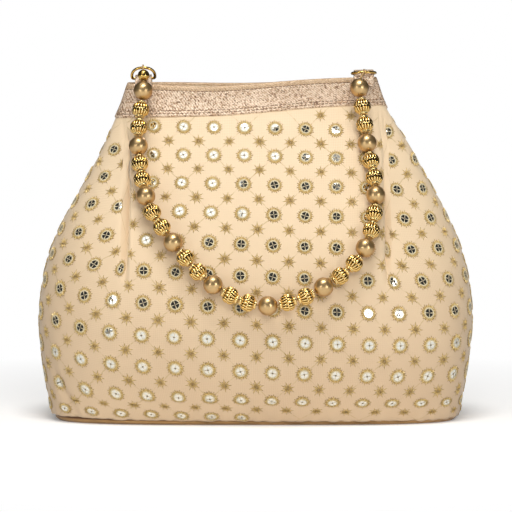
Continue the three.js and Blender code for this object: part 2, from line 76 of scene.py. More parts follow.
# The mouth's rise to the right, in millimetres a millimetre, and how far it sits to the left.
RIM_SLOPE = 0.022
MOUTH_LEAN = 2.6
# The tucks: their column, the cloth they take up, their depth and the height where they open out.
TUCK_COLUMN, TUCK_WIDTH, TUCK_DEPTH, TUCK_FOOT = 4.0, 5.0, 5.6, 98.0


def smooth(start, end, value):
    """0 before the start and 1 after the end, with a soft step between."""
    t = np.clip((value - start) / (end - start), 0.0, 1.0)
    return t * t * (3 - 2 * t)


def section_between(low, high, share, turned):
    """A section between two others. Width and depth may run ahead of height and squareness."""
    middle = low + (high - low) * turned
    middle[[0, 3]] = (low + (high - low) * share)[[0, 3]]
    return middle


sections = np.array(
    [FOOT, BASE]
    + [section_between(BASE, BELLY, s, 1 - (1 - s) ** 2.1) for s in (0.13, 0.37, 0.68)]
    + [BELLY]
    + [section_between(BELLY, SHOULDER, s, s**1.85) for s in (0.37, 0.65)]
    + [SHOULDER, COLLAR, MOUTH]
)


def section_at(height):
    """Half width, half depth and squareness at a height, on a smooth curve through the sections."""
    last = len(sections) - 1
    i = int(np.clip(np.searchsorted(sections[:, 0], height, side="left") - 1, 0, last - 1))
    low, high = sections[i], sections[i + 1]
    span = high[0] - low[0]
    t = min(1.0, max(0.0, (height - low[0]) / span))

    def slope(k):
        before, after = sections[max(0, k - 1)], sections[min(last, k + 1)]
        return (after[1:] - before[1:]) / (after[0] - before[0]) * span

    return (
        (2 * t**3 - 3 * t**2 + 1) * low[1:]
        + (t**3 - 2 * t**2 + t) * slope(i)
        + (3 * t**2 - 2 * t**3) * high[1:]
        + (t**3 - t**2) * slope(i + 1)
    )


def mouth_lean(height):
    """How far the stiff mouth sits to the left of the body's middle."""
    return MOUTH_LEAN * smooth(166, 196, height)


def skin_ring(height, columns, tucked=True):
    """Points of the skin at one height. The tucks take up the cloth that the mouth can't hold."""
    half_width, half_depth, squareness = section_at(height)
    angle = np.linspace(0, math.pi / 2, 160)
    x = half_width * np.sin(angle) ** (2 / squareness)
    y = half_depth * np.maximum(0, np.cos(angle)) ** (2 / squareness)
    run = np.concatenate([[0], np.cumsum(np.hypot(np.diff(x), np.diff(y)))])
    quarter = run[-1]
    wrapped = (columns + AROUND / 2) % AROUND - AROUND / 2
    side = np.where(wrapped < 0, -1.0, 1.0)
    is_back = np.abs(wrapped) > QUARTER
    near = np.where(is_back, AROUND / 2 - np.abs(wrapped), np.abs(wrapped))
    spare = max(0.0, QUARTER - quarter / COLUMN)
    if spare == 0 or height < BELLY[0] or not tucked:
        along = near / QUARTER * quarter
        pull = np.zeros_like(near)
    else:
        column = min(COLUMN, (quarter - TUCK_WIDTH / 2) / TUCK_COLUMN)
        start = TUCK_COLUMN * column
        end_column = min(QUARTER, TUCK_COLUMN + spare + TUCK_WIDTH / COLUMN)
        end = quarter - (QUARTER - end_column) * COLUMN
        share = np.clip((near - TUCK_COLUMN) / (end_column - TUCK_COLUMN), 0, 1)
        along = np.where(
            near <= TUCK_COLUMN,
            near * column,
            np.where(near >= end_column, quarter - (QUARTER - near) * COLUMN, start + (end - start) * share),
        )
        # The inner lip of each tuck stands sharp, and the cloth climbs slowly out of the fold.
        valley = np.minimum(share / 0.12, (1 - share) / 0.88)
        opening = smooth(TUCK_FOOT - 18, TUCK_FOOT + 12, height)
        flattening = 1 - 0.62 * smooth(136, 160, height) - 0.38 * smooth(172, 194, height)
        pull = TUCK_DEPTH * valley * opening * flattening
    px = np.interp(along, run, x)
    py = np.interp(along, run, y)
    tx = np.interp(along, run, np.gradient(x, run + 1e-9 * np.arange(len(run))))
    ty = np.interp(along, run, np.gradient(y, run + 1e-9 * np.arange(len(run))))
    size = np.maximum(1e-6, np.hypot(tx, ty))
    px = px + ty / size * pull
    py = py - tx / size * pull
    px = side * px - mouth_lean(height)
    rise = RIM_SLOPE * px * smooth(TUCK_FOOT, COLLAR[0], height)
    return np.stack([px, np.where(is_back, py, -py), height + rise], -1)


# The skin as a table, one ring every half millimetre and 14 points to a column.
TABLE_STEP, TABLE_FINE = 0.5, 14
table_heights = np.arange(0, MOUTH[0] + TABLE_STEP / 2, TABLE_STEP)
table_columns = np.arange(AROUND * TABLE_FINE) / TABLE_FINE - AROUND / 2
skin_table = np.stack([skin_ring(z, table_columns) for z in table_heights])


def table_normals(table):
    """The way out of the cloth at every point of a table."""
    across = np.roll(table, -1, 1) - np.roll(table, 1, 1)
    up = np.gradient(table, axis=0)
    normal = np.cross(across, up)
    return normal / np.maximum(1e-9, np.linalg.norm(normal, axis=-1, keepdims=True))


def from_table(table, column, height):
    """Reads a table of the skin at any columns and heights."""
    row = np.clip(np.asarray(height, float) / TABLE_STEP, 0, len(table_heights) - 1.001)
    place = ((np.asarray(column, float) + AROUND / 2) % AROUND) * TABLE_FINE
    r, c = row.astype(int), place.astype(int) % (AROUND * TABLE_FINE)
    fr, fc = (row - r)[..., None], (place - place.astype(int))[..., None]
    c2 = (c + 1) % (AROUND * TABLE_FINE)
    low = table[r, c] * (1 - fc) + table[r, c2] * fc
    high = table[r + 1, c] * (1 - fc) + table[r + 1, c2] * fc
    return low * (1 - fr) + high * fr


skin_normals = table_normals(skin_table)


def on_skin(column, height, lift):
    """Points on the skin, lifted off it along its normal, in millimetres."""
    lift = np.asarray(lift, float)[..., None]
    return from_table(skin_table, column, height) + from_table(skin_normals, column, height) * lift


def tint(code):
    """An sRGB hex colour as the linear colour that Blender's sockets take."""
    parts = [int(code[i : i + 2], 16) / 255 for i in (0, 2, 4)]
    return [p / 12.92 if p <= 0.04045 else ((p + 0.055) / 1.055) ** 2.4 for p in parts] + [1.0]


def add_node(tree, kind, inputs=None, **settings):
    """Adds a node to a tree, with its settings, its values and its links from other sockets."""
    node = tree.nodes.new(kind)
    for name, value in settings.items():
        setattr(node, name, value)
    for socket, value in (inputs or {}).items():
        if isinstance(value, bpy.types.NodeSocket):
            tree.links.new(value, node.inputs[socket])
        else:
            node.inputs[socket].default_value = value
    return node


def new_material(name, **constants):
    """A material with a surface shader, whose constant values are set on the shader itself."""
    material = bpy.data.materials.new(name)
    material.use_nodes = True
    tree = material.node_tree
    tree.nodes.clear()
    shader = add_node(tree, "ShaderNodeBsdfPrincipled")
    add_node(tree, "ShaderNodeOutputMaterial", {"Surface": shader.outputs[0]})
    for socket, value in constants.items():
        shader.inputs[socket.replace("_", " ")].default_value = value
    return material, tree, shader


def object_place(tree):
    """Where a point lies on the object, in metres."""
    return add_node(tree, "ShaderNodeTexCoord").outputs["Object"]


def noise(tree, place, scale, detail):
    """A soft random value from 0 to 1, with so many grains to a metre."""
    values = {"Vector": place, "Scale": scale, "Detail": detail}
    return add_node(tree, "ShaderNodeTexNoise", values).outputs["Fac"]


def work_out(tree, operation, *values, **settings):
    """One step of arithmetic on values and sockets."""
    return add_node(tree, "ShaderNodeMath", dict(enumerate(values)), operation=operation, **settings).outputs[0]


def rescale(tree, value, start, end, low=0.0, high=1.0, **settings):
    """Takes a value from one range to another, and holds it there."""
    ranges = {0: value, 1: start, 2: end, 3: low, 4: high}
    return add_node(tree, "ShaderNodeMapRange", ranges, **settings).outputs[0]


def mix_colours(tree, share, first, second):
    return add_node(tree, "ShaderNodeMix", {0: share, 6: first, 7: second}, data_type="RGBA").outputs[2]


def colour_ramp(tree, value, first, *stops):
    """Colours a value by stops of place and sRGB colour, in rising order."""
    node = add_node(tree, "ShaderNodeValToRGB", {"Fac": value})
    ramp = node.color_ramp
    for element, (place, colour) in zip(list(ramp.elements), (first, stops[-1])):
        element.position, element.color = place, tint(colour)
    for place, colour in stops[:-1]:
        ramp.elements.new(place).color = tint(colour)
    return node.outputs[0]


def dye(tree, shader, colour):
    tree.links.new(colour, shader.inputs["Base Color"])


def emboss(tree, shader, height, strength, depth):
    """Gives the surface a fine relief, so many metres deep."""
    bump = add_node(tree, "ShaderNodeBump", {"Height": height, "Strength": strength, "Distance": depth})
    tree.links.new(bump.outputs[0], shader.inputs["Normal"])


def new_piece(name, points, faces, material, body="bag", uv=None):
    """A mesh from points in millimetres, smooth, on a body, in the given material."""
    mesh = bpy.data.meshes.new(name)
    points = np.asarray(points, float).reshape(-1, 3) / 1000
    mesh.from_pydata(points.tolist(), [], [list(face) for face in faces])
    mesh.polygons.foreach_set("use_smooth", [True] * len(mesh.polygons))
    if uv is not None:
        layer = mesh.uv_layers.new(name="Cloth")
        layer.data.foreach_set("uv", np.asarray(uv, np.float32).ravel())
    mesh.update()
    piece = bpy.data.objects.new(name, mesh)
    bpy.context.collection.objects.link(piece)
    piece.data.materials.append(material)
    if body:
        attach(piece, body)
    return piece


def tube_faces(rows, columns):
    """Quads of a tube whose rings run round from low to high, facing out, with each corner's place."""
    r, c = np.meshgrid(np.arange(rows - 1), np.arange(columns), indexing="ij")
    r, c = r.ravel(), c.ravel()
    corners = np.stack([[r, c], [r, c + 1], [r + 1, c + 1], [r + 1, c]], -1)
    faces = corners[0] * columns + corners[1] % columns
    return faces, corners


def cloth_uv(corners, across, up, drift=0):
    """The UV of each face corner, from the values at the columns' edges and at each row's points."""
    rows, columns = corners[0].ravel(), corners[1].ravel()
    here = rows, columns % up.shape[1]
    return np.stack([across[columns] - (drift if np.isscalar(drift) else drift[here]), up[here]], -1)


# The base: board covered in gold dupion, cut to the body's outline. Its cover turns up a few
# millimetres behind the hem of the embroidered cloth, and shows under it as a soft gold strip.
def hem_height(x):
    """Where the embroidered cloth ends over the base: it is drawn up at the bag's left corner."""
    return 3.2 + 1.3 * smooth(58, 127, -x) - 0.9 * smooth(60, 128, x)


dupion, tree, shader = new_material("gold_dupion", Roughness=0.48, Metallic=0.25, Sheen_Weight=0.3)
# Slubbed silk in plain weave. Threads 0.45 mm apart run along the strip, drawn 1.1 mm apart so
# that they show.
place = object_place(tree)
slub = add_node(tree, "ShaderNodeMapping", {"Vector": place, "Scale": (60, 60, 900)}).outputs[0]
gold = colour_ramp(tree, noise(tree, slub, 1.0, 3.0), (0.32, "8f6a3a"), (0.7, "c79c64"))
# Painted shadow: just under the cloth's hem the strip darkens to brown, where the overhanging cloth shades it.
upright = add_node(tree, "ShaderNodeSeparateXYZ", {0: place}).outputs[2]
hem_shadow = rescale(tree, upright, 0.0023, 0.0032, 0.0, 0.9)
dye(tree, shader, mix_colours(tree, hem_shadow, gold, tint("553012")))
emboss(tree, shader, noise(tree, place, 900.0, 1.0), 0.35, 0.0003)

BASE_FINE = 8
BASE_PROFILE = (
    # Height, and how far it stands out from the skin: the edge is rounded and turns in at the top.
    (0.0, -2.4),
    (0.15, -1.1),
    (0.8, -0.3),
    (1.6, 0.1),
    (2.3, -0.2),
    (3.4, -0.9),
    (6.0, -1.6),
)
base_columns = np.arange(AROUND * BASE_FINE) / BASE_FINE - AROUND / 2


def base_ring(skin_height, outset, height):
    """An outline of the base: the skin's outline at one height, set down at another."""
    level = np.ones(len(base_columns))
    ring = on_skin(base_columns, skin_height * level, outset * level)
    ring[:, 2] = height
    return ring


# The skin narrows towards its foot, so no outline is taken below 0.6 mm.
base_rings = [base_ring(max(z, 0.6), outset, z) for z, outset in BASE_PROFILE]
quads, _ = tube_faces(len(base_rings), len(base_columns))
count = len(base_rings) * len(base_columns)
last = count - len(base_columns)
middles = [[0, 0, 0], [0, 0, BASE_THICK]]
base_points = np.concatenate([*base_rings, middles, base_ring(4.0, -2.2, BASE_THICK)])
faces = quads.tolist()
for i in range(len(base_columns)):
    j = (i + 1) % len(base_columns)
    faces.append([count, j, i])
    faces.append([last + i, last + j, count + 2 + j, count + 2 + i])
    faces.append([count + 2 + i, count + 2 + j, count + 1])
base = new_piece("base_strip", base_points, faces, dupion)
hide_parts("base_panel")

# The stiffener: a sheet of grey board that lies loose on the base, under the lining.
greyboard, tree, shader = new_material("greyboard", Roughness=0.9)
# Pressed paper pulp: a fine mottle with a few darker flecks.
pulp = noise(tree, object_place(tree), 700.0, 4.0)
dye(tree, shader, colour_ramp(tree, pulp, (0.0, "857762"), (1.0, "a99a80")))
frame["nodes"]["base_board"].material_slots[0].material = greyboard

# The embroidered cloth: champagne silk over a thin foam interlining, worked in gold thread. It sags
# softly at the belly, puckers where the base is sewn on and folds into a tuck at each quarter.
CLOTH_LIGHT, CLOTH_DARK, TRELLIS_THREAD = "e8d1ae", "cdb190", "b59a68"
CLOTH_FINE = 9
CLOTH_ROWS = 116
CLOTH_THICKNESS = 1.0
# The pattern: rows of motifs 19.95 mm apart, counted down from under the band. The motifs stand
# 0.54 of a column right of the middle, and the rows fall 0.92 mm a column, because the cloth was
# cut a little askew. The lowest 14 mm are eased into the base seam.
MOTIF_PHASE = 0.54
ROW_PITCH = 19.95
FIRST_ROW = 212.65
ROW_FALL = 0.92
EASED, EASE = 14.0, 0.6


def band_foot(x, is_front):
    """Where the band's lower edge lies. In front it dips on the left of the join."""
    front = COLLAR[0] - 4.6 + 4.4 * smooth(-30, 55, x)
    return np.where(is_front, front, COLLAR[0] - 2.6)


def band_top(x, is_front):
    """Where the rim lies. In front its middle sags, and the back rim shows over it."""
    front = MOUTH[0] - 1.0 - 3.6 * np.exp(-(((x + 25) / 45) ** 2))
    return np.where(is_front, front, MOUTH[0] - 1.0 - 2.2 * np.exp(-((x / 50) ** 2)))


def soft_folds(column, height):
    """How far the slack cloth stands out from the taut skin, in millimetres."""
    along, up = column * 2 * math.pi / AROUND, height / 100
    swell = 0.55 * np.sin(3 * along + 2.1 * up + 0.4) * np.sin(2.6 * up + 0.9)
    swell += 0.45 * np.sin(7 * along - 3.7 * up + 1.9) * smooth(10, 60, height)
    swell += 0.22 * np.sin(13 * along + 5.1 * up) * np.sin(4.3 * up + 2.0)
    # A valley runs up beside each front tuck, where the gathered cloth hangs from the band.
    for centre, depth, width in ((-3.45, 1.0, 0.5), (3.5, 0.7, 0.4)):
        lean = centre - np.sign(centre) * 0.3 * smooth(120, 190, height)
        reach = smooth(88, 118, height) * (1 - smooth(150, 186, height))
        swell -= depth * np.exp(-(((column - lean) / width) ** 2)) * reach
    # The cloth at the left foot folds over itself where the corner is pulled in.
    crease = np.exp(-(((column + 6.35 + 0.02 * (height - 20)) / 0.13) ** 2))
    swell -= 2.0 * crease * np.exp(-(((height - 22) / 13) ** 2))
    swell += 0.8 * np.exp(-(((column + 6.7) / 0.3) ** 2)) * np.exp(-(((height - 20) / 12) ** 2))
    # The seam at the base gathers a little, in puckers about 12 mm apart.
    wave = np.sin(along * 57 + 1.3 * np.sin(along * 11)) + 0.6 * np.sin(along * 91 + 0.8)
    swell += 0.34 * wave * np.exp(-np.maximum(0, height - 4) / 4.5)
    swell += 1.0 * (1 - smooth(5, 16, height))
    # Close under the band the cloth lies flat against it.
    return swell * (1 - smooth(182, 192, height) * 0.85)


folds = soft_folds(table_columns[None, :], table_heights[:, None])
cloth_table = skin_table + skin_normals * folds[..., None]
cloth_normals = table_normals(cloth_table)


def on_cloth(column, height, lift):
    """Points over the cloth's outer face, in millimetres."""
    lift = np.asarray(lift, float)[..., None]
    return from_table(cloth_table, column, height) + from_table(cloth_normals, column, height) * lift


# The cloth's length up the middle of the front, which the embroidery's rows are counted on.
middle = skin_table[:, AROUND // 2 * TABLE_FINE]
steps = np.hypot(np.diff(middle[:, 1]), np.diff(middle[:, 2]))
front_run = np.concatenate([[0], np.cumsum(steps)])
front_run -= np.interp(BASE_THICK, table_heights, front_run)


def cut_slant(column, height):
    """How much higher the pattern lies here than along a level row: the cloth was cut off square."""
    run = np.interp(height, table_heights, front_run)
    wrapped = (column + AROUND / 2) % AROUND - AROUND / 2
    front = QUARTER - np.abs(np.abs(wrapped) - QUARTER)
    outer = np.maximum(0, front - 3.5) ** 2
    curl = np.where(
        wrapped < 0,
        0.5 * (1 - 0.9 * smooth(85, 125, run)) * smooth(-6, 24, run),
        0.27 * (1 - 0.4 * smooth(80, 150, run)) * smooth(5, 35, run),
    )
    return -ROW_FALL * np.sign(wrapped) * front + curl * outer


def column_drift(column, height):
    """How far the motifs stray from even columns: the upper cloth was drawn in towards the join."""
    wrapped = (column + AROUND / 2) % AROUND - AROUND / 2
    nearer = np.sign(wrapped) * (QUARTER - np.abs(np.abs(wrapped) - QUARTER))
    inner = np.clip(nearer, -5, 5)
    drawn = smooth(88, 176, height)
    drift = drawn * (0.08 - 0.045 * inner) - (1 - drawn) * (0.02 + 0.02 * np.maximum(0, inner))
    # Outside the tucks the upper cloth leans away to the sides, and the back tucks take it up.
    leaning = np.clip((height - 105) / 85, 0, 1.05) ** 1.25
    leaning = np.where(wrapped < 0, np.minimum(1.95, 2.15 * leaning), 2.75 * leaning)
    outer = smooth(4.3, 5.4, np.abs(wrapped)) * (1 - smooth(8.6, 13.6, np.abs(wrapped)))
    return drift + mouth_lean(height) / COLUMN + np.sign(wrapped) * leaning * outer


def pattern_height(column, run):
    """The height at which a length of pattern lies in a column."""
    height = np.interp(run, front_run, table_heights)
    for _ in range(5):
        up = run + cut_slant(column, height)
        # The cloth is eased into the base seam, which crowds the lowest row.
        eased = np.where(up < EASED, EASED - (EASED - up) * EASE, up)
        height = np.interp(eased, front_run, table_heights)
    return height


columns = np.arange(AROUND * CLOTH_FINE) / CLOTH_FINE - AROUND / 2
shares = np.linspace(0, 1, CLOTH_ROWS) ** 1.12
probe = from_table(skin_table, columns, np.full(len(columns), 5.0))
crown = from_table(skin_table, columns, np.full(len(columns), 195.0))
foot = hem_height(probe[:, 0]) + 0.3 * np.sin(columns * 9.2) * np.sin(columns * 3.1)
top = band_foot(crown[:, 0], crown[:, 1] < 0) + 1.5
cloth_heights = foot[None, :] + (top - foot)[None, :] * shares[:, None]
grid_columns = np.broadcast_to(columns, cloth_heights.shape)
cloth_points = on_cloth(grid_columns, cloth_heights, 0 * grid_columns)
faces, corners = tube_faces(CLOTH_ROWS, len(columns))
edges = np.arange(len(columns) + 1) / CLOTH_FINE - AROUND / 2 - MOTIF_PHASE
lattice_columns = np.linspace(-AROUND / 2, AROUND / 2, AROUND * 20 + 1)
drifts = np.empty(cloth_heights.shape)
for i, height in enumerate(cloth_heights.mean(1)):
    strayed = lattice_columns + column_drift(lattice_columns, height)
    drifts[i] = columns - np.interp(columns, strayed, lattice_columns)
cloth_up = np.interp(cloth_heights, table_heights, front_run)
pattern_up = (
    np.where(cloth_up < EASED, EASED - (EASED - cloth_up) / EASE, cloth_up)
    - cut_slant(grid_columns - drifts, cloth_heights)
    - FIRST_ROW
) / ROW_PITCH

silk, tree, shader = new_material(
    "champagne_silk", Roughness=0.56, Sheen_Weight=0.25, Sheen_Roughness=0.4, Specular_IOR_Level=0.35
)
# Silk satin from a power loom: a fine warp with a soft sheen. The threads are 0.15 mm apart, drawn
# 0.6 mm apart so that the weave still shows, and the colour drifts a little over the cloth.
place = object_place(tree)
upright = add_node(tree, "ShaderNodeSeparateXYZ", {0: place}).outputs[2]
# Painted shade: the silk darkens and warms towards the foot, as the light falls off lower down the bag.
painted_low_shade = rescale(tree, upright, 0.0, 0.19, 0.55, 0.0, interpolation_type="SMOOTHSTEP")
drifted = work_out(tree, "MULTIPLY", noise(tree, place, 14.0, 3.0), 0.5)
shade = work_out(tree, "ADD", drifted, painted_low_shade, use_clamp=True)
ground = mix_colours(tree, shade, tint(CLOTH_LIGHT), tint(CLOTH_DARK))
# The trellis: single gold threads couched along the diagonals between the motifs. They waver a
# little, and are broken where they dip into the cloth.
lattice = add_node(tree, "ShaderNodeUVMap", uv_map="Cloth").outputs[0]
along = add_node(tree, "ShaderNodeSeparateXYZ", {0: lattice}).outputs
wander = noise(tree, place, 120.0, 2.0)
WAVER = 0.16
lines = []
for direction in ("ADD", "SUBTRACT"):
    diagonal = work_out(tree, direction, along[0], along[1])
    wavering = work_out(tree, "MULTIPLY_ADD", wander, WAVER, diagonal)
    centred = work_out(tree, "ADD", wavering, -WAVER / 2)
    lines.append(work_out(tree, "PINGPONG", centred, 1.0))
thread = rescale(tree, work_out(tree, "MINIMUM", *lines), 0.012, 0.03, 1.0, 0.0)
gaps = rescale(tree, noise(tree, place, 260.0, 1.0), 0.42, 0.58, 0.12, 0.55)
shown = work_out(tree, "MULTIPLY", thread, gaps)
dye(tree, shader, mix_colours(tree, shown, ground, tint(TRELLIS_THREAD)))
threads = {"Vector": lattice, "Scale": 5.4, "Distortion": 1.2, "Detail": 2.0}
warp, weft = (add_node(tree, "ShaderNodeTexWave", threads, bands_direction=way).outputs["Fac"] for way in "XY")
weave = work_out(tree, "ADD", warp, weft)
relief = work_out(tree, "MULTIPLY_ADD", noise(tree, place, 60.0, 4.0), 5.0, weave)
emboss(tree, shader, work_out(tree, "MULTIPLY_ADD", thread, 2.0, relief), 0.3, 0.0001)

uv = cloth_uv(corners, edges, pattern_up, drifts)
cloth = new_piece("embroidered_cloth", cloth_points, faces, silk, uv=uv)
wall = cloth.modifiers.new("wall", "SOLIDIFY")
wall.thickness, wall.offset = CLOTH_THICKNESS / 1000, -1
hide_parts("outer_shell")

# The embroidery: rosettes in metallic thread at every crossing of the lattice, each round a mirror
# sequin, with a small star in the middle of every cell. All of it is worked flat, then the cloth
# is made up, so each stitch is laid out on the flat cloth and bent with it.
ROSETTE_REACH, STAR_REACH, SEQUIN_RADIUS = 6.0, 4.9, 2.75
MOTIF_ROWS = 12


def new_tree(name, **inputs):
    """A geometry tree with named inputs, and the sockets that its nodes take them from."""
    tree = bpy.data.node_groups.new(name, "GeometryNodeTree")
    for label, kind in {"Geometry": "Geometry", **inputs}.items():
        tree.interface.new_socket(label, in_out="INPUT", socket_type=f"NodeSocket{kind}")
    tree.interface.new_socket("Geometry", in_out="OUTPUT", socket_type="NodeSocketGeometry")
    return tree, add_node(tree, "NodeGroupInput").outputs


def end_tree(tree, instances, material):
    """Ends a tree: the instances become a mesh of their own, in one material."""
    real = add_node(tree, "GeometryNodeRealizeInstances", {0: instances})
    finished = add_node(tree, "GeometryNodeSetMaterial", {"Geometry": real.outputs[0], "Material": material})
    add_node(tree, "NodeGroupOutput", {0: finished.outputs[0]})


def motif_tree():
    """Sets a motif on each point of the flat cloth, with a little of a hand's unevenness."""
    tree, given = new_tree(
        "set_motifs", Motif="Object", Turn="Float", Tilt="Float", Spread="Float", Seed="Int", Thread="Material"
    )
    high = add_node(tree, "ShaderNodeCombineXYZ", {0: given["Tilt"], 1: given["Tilt"], 2: given["Turn"]})
    negative = add_node(tree, "ShaderNodeVectorMath", {0: high.outputs[0], 1: (-1, -1, -1)}, operation="MULTIPLY")
    turn = add_node(
        tree,
        "FunctionNodeRandomValue",
        {"Min": negative.outputs[0], "Max": high.outputs[0], "Seed": given["Seed"]},
        data_type="FLOAT_VECTOR",
    )
    small = work_out(tree, "SUBTRACT", 1.0, given["Spread"])
    large = work_out(tree, "ADD", 1.0, given["Spread"])
    other_seed = work_out(tree, "ADD", given["Seed"], 7.0)
    size = add_node(tree, "FunctionNodeRandomValue", {2: small, 3: large, "Seed": other_seed}, data_type="FLOAT")
    shape = add_node(tree, "GeometryNodeObjectInfo", {"Object": given["Motif"]})
    put = add_node(
        tree,
        "GeometryNodeInstanceOnPoints",
        {
            "Points": given["Geometry"],
            "Instance": shape.outputs["Geometry"],
            "Rotation": turn.outputs["Value"],
            "Scale": size.outputs[1],
        },
    )
    end_tree(tree, put.outputs[0], given["Thread"])
    return tree


set_motifs = motif_tree()


def run_tree(name, points, tree, values, ways=None):
    """Runs a tree on points, which may have ways, and returns what it makes as a plain mesh object."""
    mesh = bpy.data.meshes.new(name)
    mesh.from_pydata(np.asarray(points, float).tolist(), [], [])
    if ways is not None:
        mesh.attributes.new("way", "FLOAT_VECTOR", "POINT").data.foreach_set("vector", ways.ravel())
    holder = bpy.data.objects.new(name, mesh)
    bpy.context.collection.objects.link(holder)
    modifier = holder.modifiers.new("made", "NODES")
    modifier.node_group = tree
    for item in tree.interface.items_tree:
        if item.in_out == "INPUT" and item.name in values:
            modifier[item.identifier] = values[item.name]
    bpy.context.view_layer.update()
    made = bpy.data.meshes.new_from_object(holder.evaluated_get(bpy.context.evaluated_depsgraph_get()))
    holder.modifiers.remove(modifier)
    holder.data = made
    made.name = name
    return holder


def lay_on(piece, place_point, body="bag", smooth_faces=True):
    """Moves a flat piece's points on to the bag, and finishes it as a piece of its own."""
    mesh = piece.data
    flat = np.empty(len(mesh.vertices) * 3, np.float32)
    mesh.vertices.foreach_get("co", flat)
    points = place_point(flat.reshape(-1, 3).astype(float)) / 1000
    mesh.vertices.foreach_set("co", points.astype(np.float32).ravel())
    mesh.polygons.foreach_set("use_smooth", [smooth_faces] * len(mesh.polygons))
    mesh.update()
    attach(piece, body)
    return piece


def motif_shape(name, points, faces, tips):
    """One motif as a pattern piece. Its tips, from 0 to 1, say where the thread darkens."""
    mesh = bpy.data.meshes.new(name)
    mesh.from_pydata(points, [], faces)
    mesh.attributes.new("tip", "FLOAT", "POINT").data.foreach_set("value", tips)
    shape = bpy.data.objects.new(name, mesh)
    bpy.context.collection.objects.link(shape)
    return shape


def ring_of(count, shapes):
    """Repeats a small shape round a middle. Each point of it is radius, side, lift and tip."""
    points, faces, tips = [], [], []
    for k in range(count):
        turn = 2 * math.pi * k / count
        cos, sin = math.cos(turn), math.sin(turn)
        shape, shape_faces = shapes[k % len(shapes)]
        start = len(points)
        for radius, side, lift, tip in shape:
            points.append((radius * cos - side * sin, radius * sin + side * cos, lift))
            tips.append(tip)
        faces += [[start + i for i in face] for face in shape_faces]
    return points, faces, tips


def annulus(sides, profile):
    """A ring of quads from a profile of radius, lift and tip."""
    points, faces, tips = [], [], []
    for radius, lift, tip in profile:
        for k in range(sides):
            angle = 2 * math.pi * k / sides
            points.append((radius * math.cos(angle), radius * math.sin(angle), lift))
            tips.append(tip)
    for level in range(len(profile) - 1):
        for k in range(sides):
            a, b = level * sides + k, level * sides + (k + 1) % sides
            faces.append([a, a + sides, b + sides, b])
    return points, faces, tips


def joined(*parts):
    """Several shapes as one."""
    points, faces, tips = [], [], []
    for part_points, part_faces, part_tips in parts:
        start = len(points)
        points += part_points
        tips += part_tips
        faces += [[start + i for i in face] for face in part_faces]
    return points, faces, tips


def motif_spots(offset_column, offset_row, margin):
    """Lattice places on the flat cloth, in millimetres, that the hem, band and tucks leave whole."""
    lowest, sample, least_width = 5.6, 0.2, 0.45
    spots = []
    for row in range(MOTIF_ROWS):
        for k in range(AROUND):
            column = k - AROUND / 2 + MOTIF_PHASE + offset_column
            run = FIRST_ROW - ROW_PITCH * (row + offset_row)
            height = float(pattern_height(np.array(column), np.array(run)))
            column_here = column + float(column_drift(column, height))
            edge_x = float(from_table(skin_table, column_here, height)[0])
            here = from_table(skin_table, column_here + np.array([-sample, sample]), np.full(2, height))
            is_whole = lowest <= height <= float(band_foot(edge_x, here[0, 1] < 0)) - margin
            is_flat = np.linalg.norm(here[1] - here[0]) >= 2 * sample * COLUMN * least_width
            if is_whole and is_flat:
                spots.append((column * COLUMN, run, 0.0))
    return spots


def bend_with_cloth(flat):
    """Takes points of the flat cloth to their places on the bag, and keeps them off the hem."""
    column = flat[:, 0] / COLUMN
    height = pattern_height(column, flat[:, 1])
    column = column + column_drift(column, height)
    foot_here = hem_height(from_table(skin_table, column, np.full(len(column), 5.0))[:, 0]) + 0.3
    return on_cloth(column, np.maximum(height, foot_here), np.maximum(flat[:, 2], 0.04))


zari, tree, shader = new_material("zari_thread", Metallic=0.15, Roughness=0.42, Sheen_Weight=0.15)
# Metallic embroidery thread: gilt foil wound on cotton. Its ends go down into the cloth, where
# they look brown, and neighbouring stitches catch the light unevenly.
tip = add_node(tree, "ShaderNodeAttribute", attribute_name="tip").outputs["Fac"]
grain = noise(tree, object_place(tree), 1500.0, 1.0)
uneven = work_out(tree, "MULTIPLY_ADD", grain, 0.7, tip)
dye(tree, shader, colour_ramp(tree, uneven, (0.2, "eddaa8"), (0.5, "c9aa66"), (1.0, "7a5b2e")))
emboss(tree, shader, grain, 0.5, 0.0002)

# A rosette is a ring of long and short stitches over a flat under-layer of thread.
long_stitch = [(3.2, -0.4, 0.2, 0.05), (3.2, 0.4, 0.2, 0.05), (4.9, 0.36, 0.2, 0.15), (4.9, -0.36, 0.2, 0.15)]
long_stitch += [(ROSETTE_REACH, 0.16, 0.06, 0.85), (3.3, 0.0, 0.8, 0.0), (4.9, 0.0, 0.7, 0.0)]
short_stitch = [(r * 0.9, s, z * 0.8, t + 0.1) for r, s, z, t in long_stitch]
stitch_faces = [[0, 3, 6, 5], [5, 6, 2, 1], [3, 4, 6], [6, 4, 2]]
stitches = ring_of(22, [(long_stitch, stitch_faces), (short_stitch, stitch_faces)])
rosette = joined(stitches, annulus(22, [(4.6, 0.1, 0.4), (2.6, 0.22, 0.1)]))
rosette_spots = motif_spots(0.0, 0.0, 4.5)
values = {"Turn": 3.0, "Tilt": 0.0, "Spread": 0.04, "Seed": 3, "Thread": zari}
pattern = motif_shape("rosette_pattern", *rosette)
rosettes = run_tree("rosette_stitching", rosette_spots, set_motifs, {**values, "Motif": pattern})
lay_on(rosettes, bend_with_cloth, smooth_faces=False)

